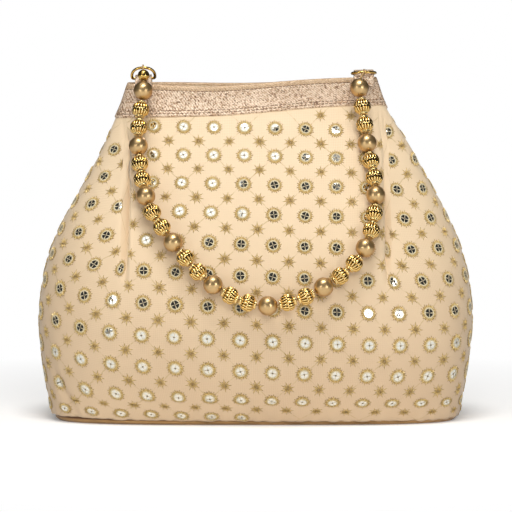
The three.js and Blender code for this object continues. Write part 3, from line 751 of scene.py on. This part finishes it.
# A star has eight long rays and eight short ones, each of them four faces that meet on a ridge.
long_ray = [(0.2, 0.0, 0.35, 0.5), (2.5, 0.42, 0.12, 0.1), (STAR_REACH, 0.0, 0.08, 0.6), (2.5, -0.42, 0.12, 0.1)]
long_ray += [(2.4, 0.0, 0.55, 0.0)]
short_ray = [(r * 0.68, s * 0.7, z, t) for r, s, z, t in long_ray]
ray_faces = [[1, 4, 0], [2, 4, 1], [3, 4, 2], [0, 4, 3]]
star = ring_of(16, [(long_ray, ray_faces), (short_ray, ray_faces)])
star_spots = motif_spots(-0.5, 0.5, 3.5)
pattern = motif_shape("star_pattern", *star)
stars = run_tree("star_stitching", star_spots, set_motifs, {**values, "Motif": pattern, "Seed": 11, "Spread": 0.08})
lay_on(stars, bend_with_cloth, smooth_faces=False)

cotton, tree, shader = new_material("cream_cotton_thread", Roughness=0.65, Sheen_Weight=0.3)
# Mercerised cotton: a matt pale thread with a slight twist, grey-brown where it is knotted.
tip = add_node(tree, "ShaderNodeAttribute", attribute_name="tip").outputs["Fac"]
twist = noise(tree, object_place(tree), 1800.0, 1.0)
uneven = work_out(tree, "MULTIPLY_ADD", twist, 0.5, tip)
dye(tree, shader, colour_ramp(tree, uneven, (0.2, "ecdcb4"), (1.0, "6f6350")))
emboss(tree, shader, twist, 0.4, 0.0002)

# Four threads hold each sequin down through its hole, inside a raised collar of cream stitches.
collar = annulus(16, [(3.45, 0.25, 0.45), (3.0, 0.8, 0.1), (2.5, 0.5, 0.3)])
spoke = [(0.35, -0.16, 0.55, 0.3), (2.7, -0.2, 0.6, 0.0), (2.7, 0.2, 0.6, 0.0), (0.35, 0.16, 0.55, 0.3)]
spoke += [(0.35, 0.0, 0.7, 0.3), (2.7, 0.0, 0.8, 0.0)]
spokes = ring_of(4, [(spoke, [[0, 1, 5, 4], [4, 5, 2, 3]])])
knot = annulus(8, [(0.62, 0.5, 0.9), (0.3, 0.74, 0.8), (0.02, 0.76, 0.8)])
pattern = motif_shape("collar_pattern", *joined(collar, spokes, knot))
loose = {**values, "Motif": pattern, "Thread": cotton, "Turn": 0.5, "Seed": 5}
collars = run_tree("sequin_collars", rosette_spots, set_motifs, loose)
lay_on(collars, bend_with_cloth)

mirror, tree, shader = new_material("mirror_acetate", Base_Color=tint("f1efe6"), Metallic=1.0, Roughness=0.07)
# Silvered acetate stamped into discs: a mirror that is slightly warm and not quite flat.
emboss(tree, shader, noise(tree, object_place(tree), 260.0, 1.0), 0.25, 0.0004)
disc = annulus(14, [(SEQUIN_RADIUS, 0.3, 0.0), (SEQUIN_RADIUS - 0.1, 0.42, 0.0), (0.02, 0.42, 0.0)])
pattern = motif_shape("sequin_pattern", *disc)
loose = {**values, "Motif": pattern, "Thread": mirror, "Tilt": 0.05, "Seed": 9}
sequins = run_tree("mirror_sequins", rosette_spots, set_motifs, loose)
lay_on(sequins, bend_with_cloth, smooth_faces=False)
for shape in [o for o in bpy.data.objects if o.name.endswith("_pattern")]:
    bpy.data.objects.remove(shape)

# The band: stiff rose-gold twill woven with glitter yarn, folded over the cloth's raw top edge and
# topstitched along both edges. Its two ends overlap in a join on the front.
TWILL_BASE, TWILL_BRIGHT, TWILL_DARK, TWILL_PLAIN = "c6a382", "ecd6bd", "7f5f48", "c9a984"
JOIN_X = 17.0
BAND_OUT = 0.9

twill, tree, shader = new_material("glitter_twill", Metallic=0.35, Roughness=0.42)
# Rose-gold lurex in a 2/2 twill: diagonal ribs with flat metal yarn that sparkles grain by grain.
# The ribs are 0.5 mm apart, drawn 0.9 mm apart so that they show.
lattice = add_node(tree, "ShaderNodeUVMap", uv_map="Cloth").outputs[0]
place = object_place(tree)
grain = add_node(tree, "ShaderNodeTexVoronoi", {"Vector": place, "Scale": 1100.0}).outputs["Color"]
grains = add_node(tree, "ShaderNodeSeparateColor", {0: grain}).outputs
ribbing = {"Vector": lattice, "Scale": 0.35, "Distortion": 5.0, "Detail": 3.0, "Detail Scale": 2.0}
ribs = add_node(tree, "ShaderNodeTexWave", ribbing, bands_direction="DIAGONAL").outputs["Fac"]
spark = work_out(tree, "MULTIPLY", grains[0], ribs)
mixed = work_out(tree, "MULTIPLY_ADD", grains[1], 0.8, spark)
shaded = work_out(tree, "MULTIPLY_ADD", noise(tree, place, 70.0, 2.0), 0.3, mixed)
glitter = colour_ramp(tree, shaded, (0.2, TWILL_DARK), (0.5, TWILL_BASE), (1.0, TWILL_BRIGHT))
# Above the upper row of stitches the folded edge shows the twill's plainer side.
up = add_node(tree, "ShaderNodeSeparateXYZ", {0: lattice}).outputs[1]
edge = rescale(tree, up, 18.6, 19.0, 0.0, 0.7)
dye(tree, shader, mix_colours(tree, edge, glitter, tint(TWILL_PLAIN)))
emboss(tree, shader, work_out(tree, "ADD", grains[2], ribs), 0.6, 0.0003)

# The band lies flat over the tucks, so it is measured by its length round the mouth.
mouth_table = np.stack([skin_ring(z, table_columns, tucked=False) for z in table_heights])
mouth_normals = table_normals(mouth_table)
BAND_MIDDLE, BAND_HIGH = 205.0, 18.5
collar_ring = from_table(mouth_table, table_columns, np.full(len(table_columns), BAND_MIDDLE))
collar_length = np.linalg.norm(np.roll(collar_ring, -1, 0) - collar_ring, axis=-1).sum()


def on_band(length, share, lift):
    """Points on the band: a length round the mouth, a share of its height and a lift off its face."""
    column = length / collar_length * AROUND - AROUND / 2
    middle = from_table(mouth_table, column, np.full(np.shape(column), BAND_MIDDLE))
    is_front = middle[..., 1] < 0
    low, high = band_foot(middle[..., 0], is_front), band_top(middle[..., 0], is_front)
    over = JOIN_X - middle[..., 0]
    join = np.where(is_front & (over > 0), 0.55 * np.exp(-np.maximum(over, 0) / 9), 0.0)
    lift = np.where(lift > 0, lift + join, lift)
    height = low + (high - low) * share
    lift = np.asarray(lift, float)[..., None]
    return from_table(mouth_table, column, height) + from_table(mouth_normals, column, height) * lift


# The band's section, as shares of its height and lifts: its lower edge, its face, which each row
# of stitches pulls in, and its folded rim and inner face.
BAND_STEPS = 330
STITCH_ROWS = (0.085, 0.175, 0.82)
lengths = np.arange(BAND_STEPS) / BAND_STEPS * collar_length
beside = [row + step for row in STITCH_ROWS for step in (-0.03, 0, 0.03)]
shares = sorted([0.13, *np.linspace(0.23, 0.77, 6), 0.9, *beside])
profile = [(0.05, -1.7), (-0.012, -0.2), (-0.004, 0.55), (0.02, BAND_OUT)]
profile += [(s, BAND_OUT + 0.12 * math.sin(s * 3.1) - (0.35 if s in STITCH_ROWS else 0)) for s in shares]
profile += [(0.975, 0.8), (1.0, 0.2), (1.0, -0.7), (0.98, -1.3), (0.94, -1.7), (0.6, -1.75), (0.05, -1.7)]
band_points = np.concatenate([on_band(lengths, s, np.full(BAND_STEPS, lift)) for s, lift in profile])
faces, corners = tube_faces(len(profile), BAND_STEPS)
band_up = np.cumsum([0] + [math.hypot((b[0] - a[0]) * 19, b[1] - a[1]) for a, b in zip(profile, profile[1:])])
band_across = np.arange(BAND_STEPS + 1) / BAND_STEPS * collar_length
uv = cloth_uv(corners, band_across, np.repeat(band_up[:, None], BAND_STEPS, 1))
band = new_piece("mouth_band", band_points, faces, twill, uv=uv)
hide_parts("rim_band")

polyester, tree, shader = new_material("bronze_polyester_thread", Roughness=0.45, Sheen_Weight=0.2)
# Twisted sewing thread: fine slanting plies that show as a light and dark mottle along a stitch.
ply = noise(tree, object_place(tree), 2200.0, 1.0)
dye(tree, shader, colour_ramp(tree, ply, (0.0, "5f4028"), (1.0, "8a6743")))

# One stitch lies in the cloth it pulls down: a low ridge with both ends sunk.
STITCH_LONG, STITCH_APART = 2.3, 2.6
half = STITCH_LONG / 2
stitch = [(-half, 0, -0.1), (-half * 0.6, -0.24, 0), (half * 0.6, -0.24, 0), (half, 0, -0.1)]
stitch += [(half * 0.6, 0.24, 0), (-half * 0.6, 0.24, 0), (-half * 0.6, 0, 0.26), (half * 0.6, 0, 0.26)]
faces = [[0, 1, 6], [1, 2, 7, 6], [2, 3, 7], [3, 4, 7], [4, 5, 6, 7], [5, 0, 6]]
pattern = motif_shape("topstitch_pattern", stitch, faces, [0.0] * len(stitch))
BAND_SCALE = 100.0
spots = []
for row, share in enumerate(STITCH_ROWS):
    for k in range(int(collar_length / STITCH_APART)):
        spots.append((k * STITCH_APART + 0.9 * row, share * BAND_SCALE, 0.0))
values = {"Motif": pattern, "Turn": 0.06, "Tilt": 0.0, "Spread": 0.06, "Seed": 21, "Thread": polyester}
topstitch = run_tree("band_topstitching", spots, set_motifs, values)


def bend_with_band(flat):
    """Takes stitches from their rows on the flat band to their places round the mouth."""
    rows = np.array(STITCH_ROWS) * BAND_SCALE
    nearest = rows[np.argmin(np.abs(flat[:, 1][:, None] - rows), 1)]
    share = nearest / BAND_SCALE + (flat[:, 1] - nearest) / BAND_HIGH
    return on_band(flat[:, 0], share, BAND_OUT - 0.1 + flat[:, 2])


lay_on(topstitch, bend_with_band)
bpy.data.objects.remove(pattern)

# The lining: a cup of champagne satin that hangs inside the wall, caught under the band's edge.
LINING_INSET, LINING_WALL = 2.75, 0.5
satin, tree, shader = new_material("polyester_satin", Roughness=0.36, Sheen_Weight=0.4, Anisotropic=0.4)
# Satin weave: long floats that shine along the warp, with soft creases a few centimetres apart.
place = object_place(tree)
creases = noise(tree, place, 45.0, 3.0)
# Painted shade: the satin darkens in the hollows of its creases and is lighter on their crests.
dye(tree, shader, colour_ramp(tree, creases, (0.0, "cdb588"), (1.0, "e2cfa4")))
relief = work_out(tree, "MULTIPLY_ADD", creases, 8.0, noise(tree, place, 1400.0, 1.0))
emboss(tree, shader, relief, 0.5, 0.0003)

LINING_FINE, LINING_ROWS, LINING_FOOT = 5, 50, 7.6
columns = np.arange(AROUND * LINING_FINE) / LINING_FINE - AROUND / 2
crown = from_table(skin_table, columns, np.full(len(columns), BAND_MIDDLE))
top = band_top(crown[:, 0], crown[:, 1] < 0) - 1.6
heights = LINING_FOOT + (top - LINING_FOOT)[None, :] * np.linspace(0, 1, LINING_ROWS)[:, None]
grid = np.broadcast_to(columns, heights.shape)
slack = 0.35 * np.sin(grid * 2.7 + heights / 21) * smooth(12, 40, heights) * (1 - smooth(165, 195, heights))
wall_points = on_skin(grid, heights, -LINING_INSET - 0.4 - slack)
faces, corners = tube_faces(LINING_ROWS, len(columns))
lining_points = np.concatenate([wall_points.reshape(-1, 3), [[0, 0, LINING_FOOT - 0.2]]])
faces = [list(face)[::-1] for face in faces]
faces += [[len(lining_points) - 1, i, (i + 1) % len(columns)] for i in range(len(columns))]
lining = new_piece("satin_lining", lining_points, faces, satin)
wall = lining.modifiers.new("wall", "SOLIDIFY")
wall.thickness, wall.offset = LINING_WALL / 1000, 0
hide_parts("lining")

# The D-rings and their tabs. Each tab is a strap of the band's twill, folded over the ring's bar
# and sewn down on both faces of the rim. The rings are bent from brass wire and gilded.
BAR_LIFT = 1.2
RIM_ANGLE = math.atan(RIM_SLOPE)
RING_WIDTH, RING_REACH, WIRE = 16.4, 8.8, 1.8
RING_PLACES = {"left": (-71.0, 40.0), "right": (68.0, 84.0)}


def by_rim(points, x, tilt=0.0):
    """Turns points from a ring's own axes to the bag: the bars lie along the leaning rim."""
    points = np.asarray(points, float)
    angle = math.radians(tilt)
    y = points[:, 1] * math.cos(angle) - points[:, 2] * math.sin(angle)
    z = points[:, 1] * math.sin(angle) + points[:, 2] * math.cos(angle)
    across = points[:, 0] + x
    turned = (
        across * math.cos(RIM_ANGLE) - z * math.sin(RIM_ANGLE),
        y,
        across * math.sin(RIM_ANGLE) + z * math.cos(RIM_ANGLE) + MOUTH[0] + BAR_LIFT,
    )
    return np.stack(turned, -1)


def tube_along(path, radius, sides, closed=False):
    """Rings of points round a path, carried along it without twist, with the faces between them."""
    path = np.asarray(path, float)
    count = len(path)
    if closed:
        along = np.roll(path, -1, 0) - np.roll(path, 1, 0)
    else:
        along = np.gradient(path, axis=0)
    along /= np.linalg.norm(along, axis=-1, keepdims=True)
    side = np.array([0.3, 0.9, 0.1])
    rings = []
    for i in range(count):
        side = side - along[i] * side.dot(along[i])
        side /= np.linalg.norm(side)
        across = np.cross(along[i], side)
        angles = np.arange(sides) / sides * 2 * math.pi
        rings.append(path[i] + radius * (np.cos(angles)[:, None] * side + np.sin(angles)[:, None] * across))
    points = np.concatenate(rings)
    faces = []
    for i in range(count if closed else count - 1):
        j = (i + 1) % count
        for k in range(sides):
            m = (k + 1) % sides
            faces.append([i * sides + k, i * sides + m, j * sides + m, j * sides + k])
    if not closed:
        faces.append(list(range(sides))[::-1])
        faces.append([(count - 1) * sides + k for k in range(sides)])
    return points, faces


def bezier(a, b, c, d, steps):
    """Points on a curve from a to d, drawn towards b and c, without its last point."""
    t = np.linspace(0, 1, steps, endpoint=False)[:, None]
    return (1 - t) ** 3 * a + 3 * (1 - t) ** 2 * t * b + 3 * (1 - t) * t**2 * c + t**3 * d


gilt, tree, shader = new_material("gilded_brass", Metallic=1.0, Roughness=0.16)
# Electroplated gold over polished brass wire, with the faint drawing lines of the wire.
drawn = noise(tree, object_place(tree), 900.0, 2.0)
dye(tree, shader, colour_ramp(tree, drawn, (0.0, "c79a45"), (1.0, "e8c67a")))


def at(x, z):
    """A point in the plane of a ring."""
    return np.array([x, 0.0, z])


half, corner = RING_WIDTH / 2 - WIRE / 2, 1.6
wire_path = np.concatenate(
    [
        np.linspace(at(half - corner, 0), at(corner - half, 0), 14, endpoint=False),
        bezier(at(corner - half, 0), at(-half * 0.95, 0), at(-half, corner * 0.3), at(-half, corner), 6),
        bezier(at(-half, corner), at(-half, RING_REACH * 0.75), at(-half * 0.6, RING_REACH), at(0, RING_REACH), 16),
        bezier(at(0, RING_REACH), at(half * 0.6, RING_REACH), at(half, RING_REACH * 0.75), at(half, corner), 16),
        bezier(at(half, corner), at(half, corner * 0.3), at(half * 0.95, 0), at(half - corner, 0), 6),
    ]
)
for side, (x, tilt) in RING_PLACES.items():
    points, faces = tube_along(by_rim(wire_path, x, tilt), WIRE / 2, 14, closed=True)
    ring = new_piece(f"d_ring_{side}", points, faces, gilt, body=f"ring_{side}")
    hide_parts(f"ring_{side}")

# A strap's line runs from its front end up over the bar and down again, as Y and Z from the bar.
TAB_WIDTHS, TAB_THICKNESS = {"left": 10.4, "right": 12.4}, 1.0
front_half = np.array(
    [(-8.1, -8.0), (-8.0, -5.0), (-7.7, -2.6), (-6.7, -1.0), (-4.4, 0.55), (-2.2, 1.75), (0.0, 2.0)]
)
tab_line = np.concatenate([front_half, front_half[-2::-1] * (-1, 1)])
fine = np.linspace(0, len(tab_line) - 1, 60)
tab_line = np.stack([np.interp(fine, np.arange(len(tab_line)), tab_line[:, k]) for k in (0, 1)], -1)
for _ in range(6):
    tab_line[1:-1] = (tab_line[:-2] + 2 * tab_line[1:-1] + tab_line[2:]) / 4
tab_along = np.gradient(tab_line, axis=0)
tab_along /= np.linalg.norm(tab_along, axis=-1, keepdims=True)
tab_out = np.stack([-tab_along[:, 1], tab_along[:, 0]], -1)
# Its section has rounded edges, across a width of 10 and a thickness of 1.
rounded = [(-5.0, 0.15), (-4.8, 0.45), (-4.2, 0.5), (0, 0.58), (4.2, 0.5), (4.8, 0.45), (5.0, 0.15)]
rounded += [(5.0, -0.15), (4.8, -0.45), (0, -0.5), (-4.8, -0.45), (-5.0, -0.15)]
for side, (x, _) in RING_PLACES.items():
    strap_points = []
    for (y, z), (out_y, out_z) in zip(tab_line, tab_out):
        for across, lift in rounded:
            lift *= TAB_THICKNESS
            strap_points.append((across * TAB_WIDTHS[side] / 10, y + out_y * lift, z + out_z * lift))
    count = len(rounded)
    faces = [list(range(count)), [(len(tab_line) - 1) * count + k for k in range(count)][::-1]]
    uv = [(0, 0)] * (2 * count)
    for i in range(len(tab_line) - 1):
        for k in range(count):
            m = (k + 1) % count
            faces.append([i * count + k, (i + 1) * count + k, (i + 1) * count + m, i * count + m])
            uv += [(k, i * 0.6), (k, i * 0.6 + 0.6), (k + 1, i * 0.6 + 0.6), (k + 1, i * 0.6)]
    strap = new_piece(f"ring_strap_{side}", by_rim(strap_points, x), faces, twill, uv=uv)
    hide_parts(f"ring_tab_{side}")

# The handle: eleven imitation pearls with two fluted gilt beads between each pair, strung on
# nylon cord that is knotted to a D-ring at each end. A crimped ball hides the left knot.
PEARL, FLUTED, FLUTED_LONG, BORE = 12.0, 10.7, 10.6, 2.0


def middle_of(node):
    """The middle of a CAD node, in millimetres."""
    low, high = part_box(node)
    return np.array([(a + b) / 2 * 1000 for a, b in zip(low, high)])


order = ["pearl_bead_01"]
for i in range(1, 11):
    order += [f"fluted_bead_{2 * i - 1:02d}", f"fluted_bead_{2 * i:02d}", f"pearl_bead_{i + 1:02d}"]
spots = np.array([middle_of(name) for name in order])
ways = np.gradient(spots, axis=0)
ways /= np.linalg.norm(ways, axis=-1, keepdims=True)


def turned_shape(name, profile, sides, flute=None):
    """A bead turned round its bore, which runs along Z, from a profile of radius and height."""
    points, faces, tips = [], [], []
    for radius, height in profile:
        for k in range(sides):
            angle = 2 * math.pi * k / sides
            out = radius + (flute(angle, radius, height) if flute else 0)
            points.append((out * math.cos(angle), out * math.sin(angle), height))
            tips.append(max(0.0, min(1.0, (radius - out) * 1.5)) if flute else 0.0)
    count = len(profile)
    for level in range(count):
        for k in range(sides):
            low, high, beside = level * sides, (level + 1) % count * sides, (k + 1) % sides
            faces.append([low + k, low + beside, high + beside, high + k])
    return motif_shape(name, points, faces, tips)


def bead_tree():
    """Sets a bead on each point, with its bore along the point's way and a random roll about it."""
    tree, given = new_tree("thread_beads", Bead="Object", Roll="Float", Seed="Int", Finish="Material")
    way = add_node(tree, "GeometryNodeInputNamedAttribute", {"Name": "way"}, data_type="FLOAT_VECTOR")
    aim = add_node(tree, "FunctionNodeAlignRotationToVector", {"Vector": way.outputs[0]}, axis="Z")
    draw = {2: 0.0, 3: given["Roll"], "Seed": given["Seed"]}
    roll = add_node(tree, "FunctionNodeRandomValue", draw, data_type="FLOAT")
    spin = add_node(tree, "ShaderNodeCombineXYZ", {2: roll.outputs[1]})
    shape = add_node(tree, "GeometryNodeObjectInfo", {"Object": given["Bead"]})
    put = add_node(
        tree,
        "GeometryNodeInstanceOnPoints",
        {"Points": given["Geometry"], "Instance": shape.outputs["Geometry"], "Rotation": aim.outputs[0]},
    )
    rolled = add_node(
        tree, "GeometryNodeRotateInstances", {"Instances": put.outputs[0], "Rotation": spin.outputs[0]}
    )
    end_tree(tree, rolled.outputs[0], given["Finish"])
    return tree


thread_beads = bead_tree()


def thread_on(name, wanted, shape, finish, seed):
    """Threads one kind of bead on the strand, and finishes them as one piece on the handle."""
    chosen = [i for i, node in enumerate(order) if node.startswith(wanted)]
    values = {"Bead": shape, "Roll": 6.0, "Seed": seed, "Finish": finish}
    holder = run_tree(name, spots[chosen], thread_beads, values, ways[chosen])
    lay_on(holder, lambda points: points, body="handle")
    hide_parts(*[order[i] for i in chosen])
    bpy.data.objects.remove(shape)


def ball_profile(diameter, steps, groove=0.0):
    """Half a section of a bored ball, as radius and height, with a groove round its middle."""
    edge = math.asin(BORE / diameter)
    end = diameter / 2 * math.cos(edge) - 0.3
    profile = [(BORE / 2, -end)]
    for i in range(steps + 1):
        angle = -math.pi / 2 + edge + (math.pi - 2 * edge) * i / steps
        radius = diameter / 2 - (groove if 2 * i == steps else 0.0)
        profile.append((radius * math.cos(angle), radius * math.sin(angle)))
    return profile + [(BORE / 2, end)]


pearl_coat, tree, shader = new_material(
    "champagne_pearl_lacquer", Metallic=0.9, Roughness=0.33, Coat_Weight=0.3, Coat_Roughness=0.2, Coat_IOR=1.5
)
# Glass or acrylic balls dipped in pearl essence and clear lacquer: a satin metal glow under gloss.
facing = add_node(tree, "ShaderNodeLayerWeight", {"Blend": 0.35}).outputs["Facing"]
depth = work_out(tree, "MULTIPLY_ADD", noise(tree, object_place(tree), 160.0, 2.0), 0.25, facing)
dye(tree, shader, colour_ramp(tree, depth, (0.05, "dcba84"), (0.95, "a98049")))
shape = turned_shape("pearl_shape", ball_profile(PEARL, 24), 40)
thread_on("pearls", "pearl", shape, pearl_coat, 4)

plate, tree, shader = new_material("gold_plated_zamak", Metallic=1.0, Roughness=0.17)
# Cast beads, diamond cut and plated in yellow gold: bright ribs, with painted shade darkening the grooves to dark
# orange.
tip = add_node(tree, "ShaderNodeAttribute", attribute_name="tip").outputs["Fac"]
dye(tree, shader, colour_ramp(tree, tip, (0.1, "f8dc98"), (0.45, "d29a3a"), (0.85, "5c3608")))
emboss(tree, shader, noise(tree, object_place(tree), 800.0, 2.0), 0.15, 0.0002)
RIBS = 16


def cut_ribs(angle, radius, height):
    """Two tiers of ribs, half a step apart, that fade out at the girdle and the collars."""
    if radius < 3.2:
        return 0.0
    tier = 0.5 if height > 0 else 0.0
    wave = abs(math.sin((angle * RIBS / (2 * math.pi) + tier) * math.pi))
    reach = min(1.0, abs(height) / 0.5) * min(1.0, (radius - 3.1) / 1.0)
    return -0.85 * (1 - wave) ** 1.2 * reach


# Half a bead from its end to its girdle: the bore, the collar, the neck and the ribbed shoulder.
half, belly = FLUTED_LONG / 2, FLUTED / 2
profile = [
    (BORE / 2, -half + 0.2),
    (2.4, -half),
    (2.95, -half + 0.25),
    (2.95, -half + 0.75),
    (2.45, -half + 1.05),
    (3.3, -half + 1.35),
    (4.3, -half + 2.0),
    (5.0, -half + 3.0),
    (belly - 0.08, -half + 4.0),
    (belly, -0.75),
    (belly, -0.45),
    (belly - 0.25, -0.2),
]
profile += [(radius, -height) for radius, height in profile[::-1]]
shape = turned_shape("fluted_shape", profile, RIBS * 5, cut_ribs)
thread_on("fluted_beads", "fluted", shape, plate, 8)

crimp_middle = middle_of("crimp_ball")
CRIMP = 7.4
crimp_shape = turned_shape("crimp_shape", ball_profile(CRIMP, 16, groove=0.12), 32)
flat = np.array([vertex.co for vertex in crimp_shape.data.vertices])
way = spots[0] - crimp_middle
way /= np.linalg.norm(way)
side = np.cross(way, (0, 1, 0.3))
side /= np.linalg.norm(side)
points = crimp_middle + flat[:, :1] * side + flat[:, 1:2] * np.cross(way, side) + flat[:, 2:] * way
faces = [list(polygon.vertices) for polygon in crimp_shape.data.polygons]
crimp = new_piece("crimped_ball", points, faces, gilt, body="handle")
bpy.data.objects.remove(crimp_shape)
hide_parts("crimp_ball")

nylon_cord, tree, shader = new_material("nylon_cord", Roughness=0.6, Sheen_Weight=0.3)
# Braided nylon 1.2 mm thick: strands cross in a fine diamond braid along the cord.
braid = add_node(tree, "ShaderNodeTexVoronoi", {"Vector": object_place(tree), "Scale": 1600.0}).outputs["Distance"]
dye(tree, shader, colour_ramp(tree, braid, (0.0, "cba66c"), (1.0, "86683a")))
CORD = 1.2


def over_wire(side, angles):
    """The cord's turn over the bow of a ring, at angles round the wire in degrees."""
    bow = by_rim([(0, 0, RING_REACH)], *RING_PLACES[side])[0]
    radius = WIRE / 2 + CORD / 2
    turns = np.radians(angles)
    return np.stack([bow[0] + 0 * turns, bow[1] + radius * np.cos(turns), bow[2] + radius * np.sin(turns)], -1)


loop = np.linspace(-70, 165, 16)
cord_path = [*over_wire("left", loop), crimp_middle - way * 3.2, crimp_middle + way * 3.2]
for spot, bead_way in zip(spots, ways):
    cord_path += [spot - bead_way * 4, spot + bead_way * 4]
cord_path += [*over_wire("right", loop[::-1])]
points, faces = tube_along(cord_path, CORD / 2, 10)
cord_piece = new_piece("stringing_cord", points, faces, nylon_cord, body="handle")
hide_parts("handle_cord")

# The studio: pale paper, a softbox overhead, two beside the camera, a white card high on the left
# and a large fill that no mirror shows. The dark room gives the mirrors and gilt beads their black.
white_floor, tree, shader = new_material(
    "studio_paper", Base_Color=tint("f7f6f4"), Roughness=0.85, Specular_IOR_Level=0.1, Emission_Color=(1, 1, 1, 1)
)
seen = add_node(tree, "ShaderNodeLightPath").outputs["Is Camera Ray"]
tree.links.new(work_out(tree, "MULTIPLY", seen, 0.22), shader.inputs["Emission Strength"])
# Away from the bag the camera sees the paper burnt out to plain white, as in a catalogue picture.
away = add_node(tree, "ShaderNodeVectorMath", {0: object_place(tree)}, operation="LENGTH").outputs["Value"]
burnt = work_out(tree, "MULTIPLY", rescale(tree, away, 0.17, 0.4), seen)
white = add_node(tree, "ShaderNodeEmission", {"Color": (1, 1, 1, 1), "Strength": 1.0})
both = add_node(tree, "ShaderNodeMixShader", {0: burnt, 1: shader.outputs[0], 2: white.outputs[0]})
tree.links.new(both.outputs[0], tree.get_output_node("ALL").inputs["Surface"])
half = 6.0
floor_mesh = bpy.data.meshes.new("floor")
floor_mesh.from_pydata([(-half, -half, 0), (half, -half, 0), (half, half, 0), (-half, half, 0)], [], [(0, 1, 2, 3)])
floor = bpy.data.objects.new("floor", floor_mesh)
bpy.context.collection.objects.link(floor)
floor.data.materials.append(white_floor)


def softbox(name, azimuth, elevation, distance, width, height, power):
    """An area lamp that faces the middle of the bag, placed in degrees and metres, in watts."""
    lamp = bpy.data.lights.new(name, "AREA")
    lamp.shape, lamp.size, lamp.size_y, lamp.energy = "RECTANGLE", width, height, power
    holder = bpy.data.objects.new(name, lamp)
    bpy.context.collection.objects.link(holder)
    a, e = math.radians(azimuth), math.radians(elevation)
    holder.location = (
        distance * math.sin(a) * math.cos(e),
        -distance * math.cos(a) * math.cos(e),
        0.1 + distance * math.sin(e),
    )
    holder.rotation_euler = (math.pi / 2 - e, 0, a)
    return holder


softbox("top_softbox", 0, 70, 1.5, 0.5, 0.4, 10)
softbox("left_softbox", -34, 8, 2.2, 0.4, 0.5, 5)
softbox("right_softbox", 34, 8, 2.2, 0.4, 0.5, 7.5)
softbox("white_card", -27, 54, 1.6, 0.9, 0.9, 3.2)
softbox("front_fill", 6, 26, 2.3, 1.0, 0.8, 19).visible_glossy = False

world = bpy.data.worlds.new("studio_walls")
bpy.context.scene.world = world
world.use_nodes = True
tree = world.node_tree
tree.nodes.clear()
# The camera sees white. The room that lights the bag is dark, with a pale ceiling.
way = add_node(tree, "ShaderNodeTexCoord").outputs["Generated"]
rising = add_node(tree, "ShaderNodeSeparateXYZ", {0: way}).outputs[2]
level = rescale(tree, rising, 0.84, 0.97, 0.045, 0.9)
room = add_node(tree, "ShaderNodeBackground", {"Color": (1, 1, 1, 1), "Strength": level}).outputs[0]
backdrop = add_node(tree, "ShaderNodeBackground", {"Color": (1, 1, 1, 1), "Strength": 1.0}).outputs[0]
seen = add_node(tree, "ShaderNodeLightPath").outputs["Is Camera Ray"]
chosen = add_node(tree, "ShaderNodeMixShader", {0: seen, 1: room, 2: backdrop})
add_node(tree, "ShaderNodeOutputWorld", {"Surface": chosen.outputs[0]})

# The camera stands 2 m off, 4 degrees up, and sees 0.3246 m across the bag's middle.
CAMERA_ELEVATION, CAMERA_DISTANCE, VIEW_WIDTH, AIM = math.radians(4.0), 2.0, 0.3246, 0.10215
camera = bpy.data.objects.new("camera", bpy.data.cameras.new("camera"))
bpy.context.collection.objects.link(camera)
camera.data.sensor_width = 36.0
camera.data.lens = 36.0 * CAMERA_DISTANCE / VIEW_WIDTH
camera.location = (
    0.0,
    -CAMERA_DISTANCE * math.cos(CAMERA_ELEVATION),
    AIM + CAMERA_DISTANCE * math.sin(CAMERA_ELEVATION),
)
camera.rotation_euler = (math.pi / 2 - CAMERA_ELEVATION, 0, 0)
bpy.context.scene.camera = camera
bpy.context.scene.view_settings.view_transform = "Standard"
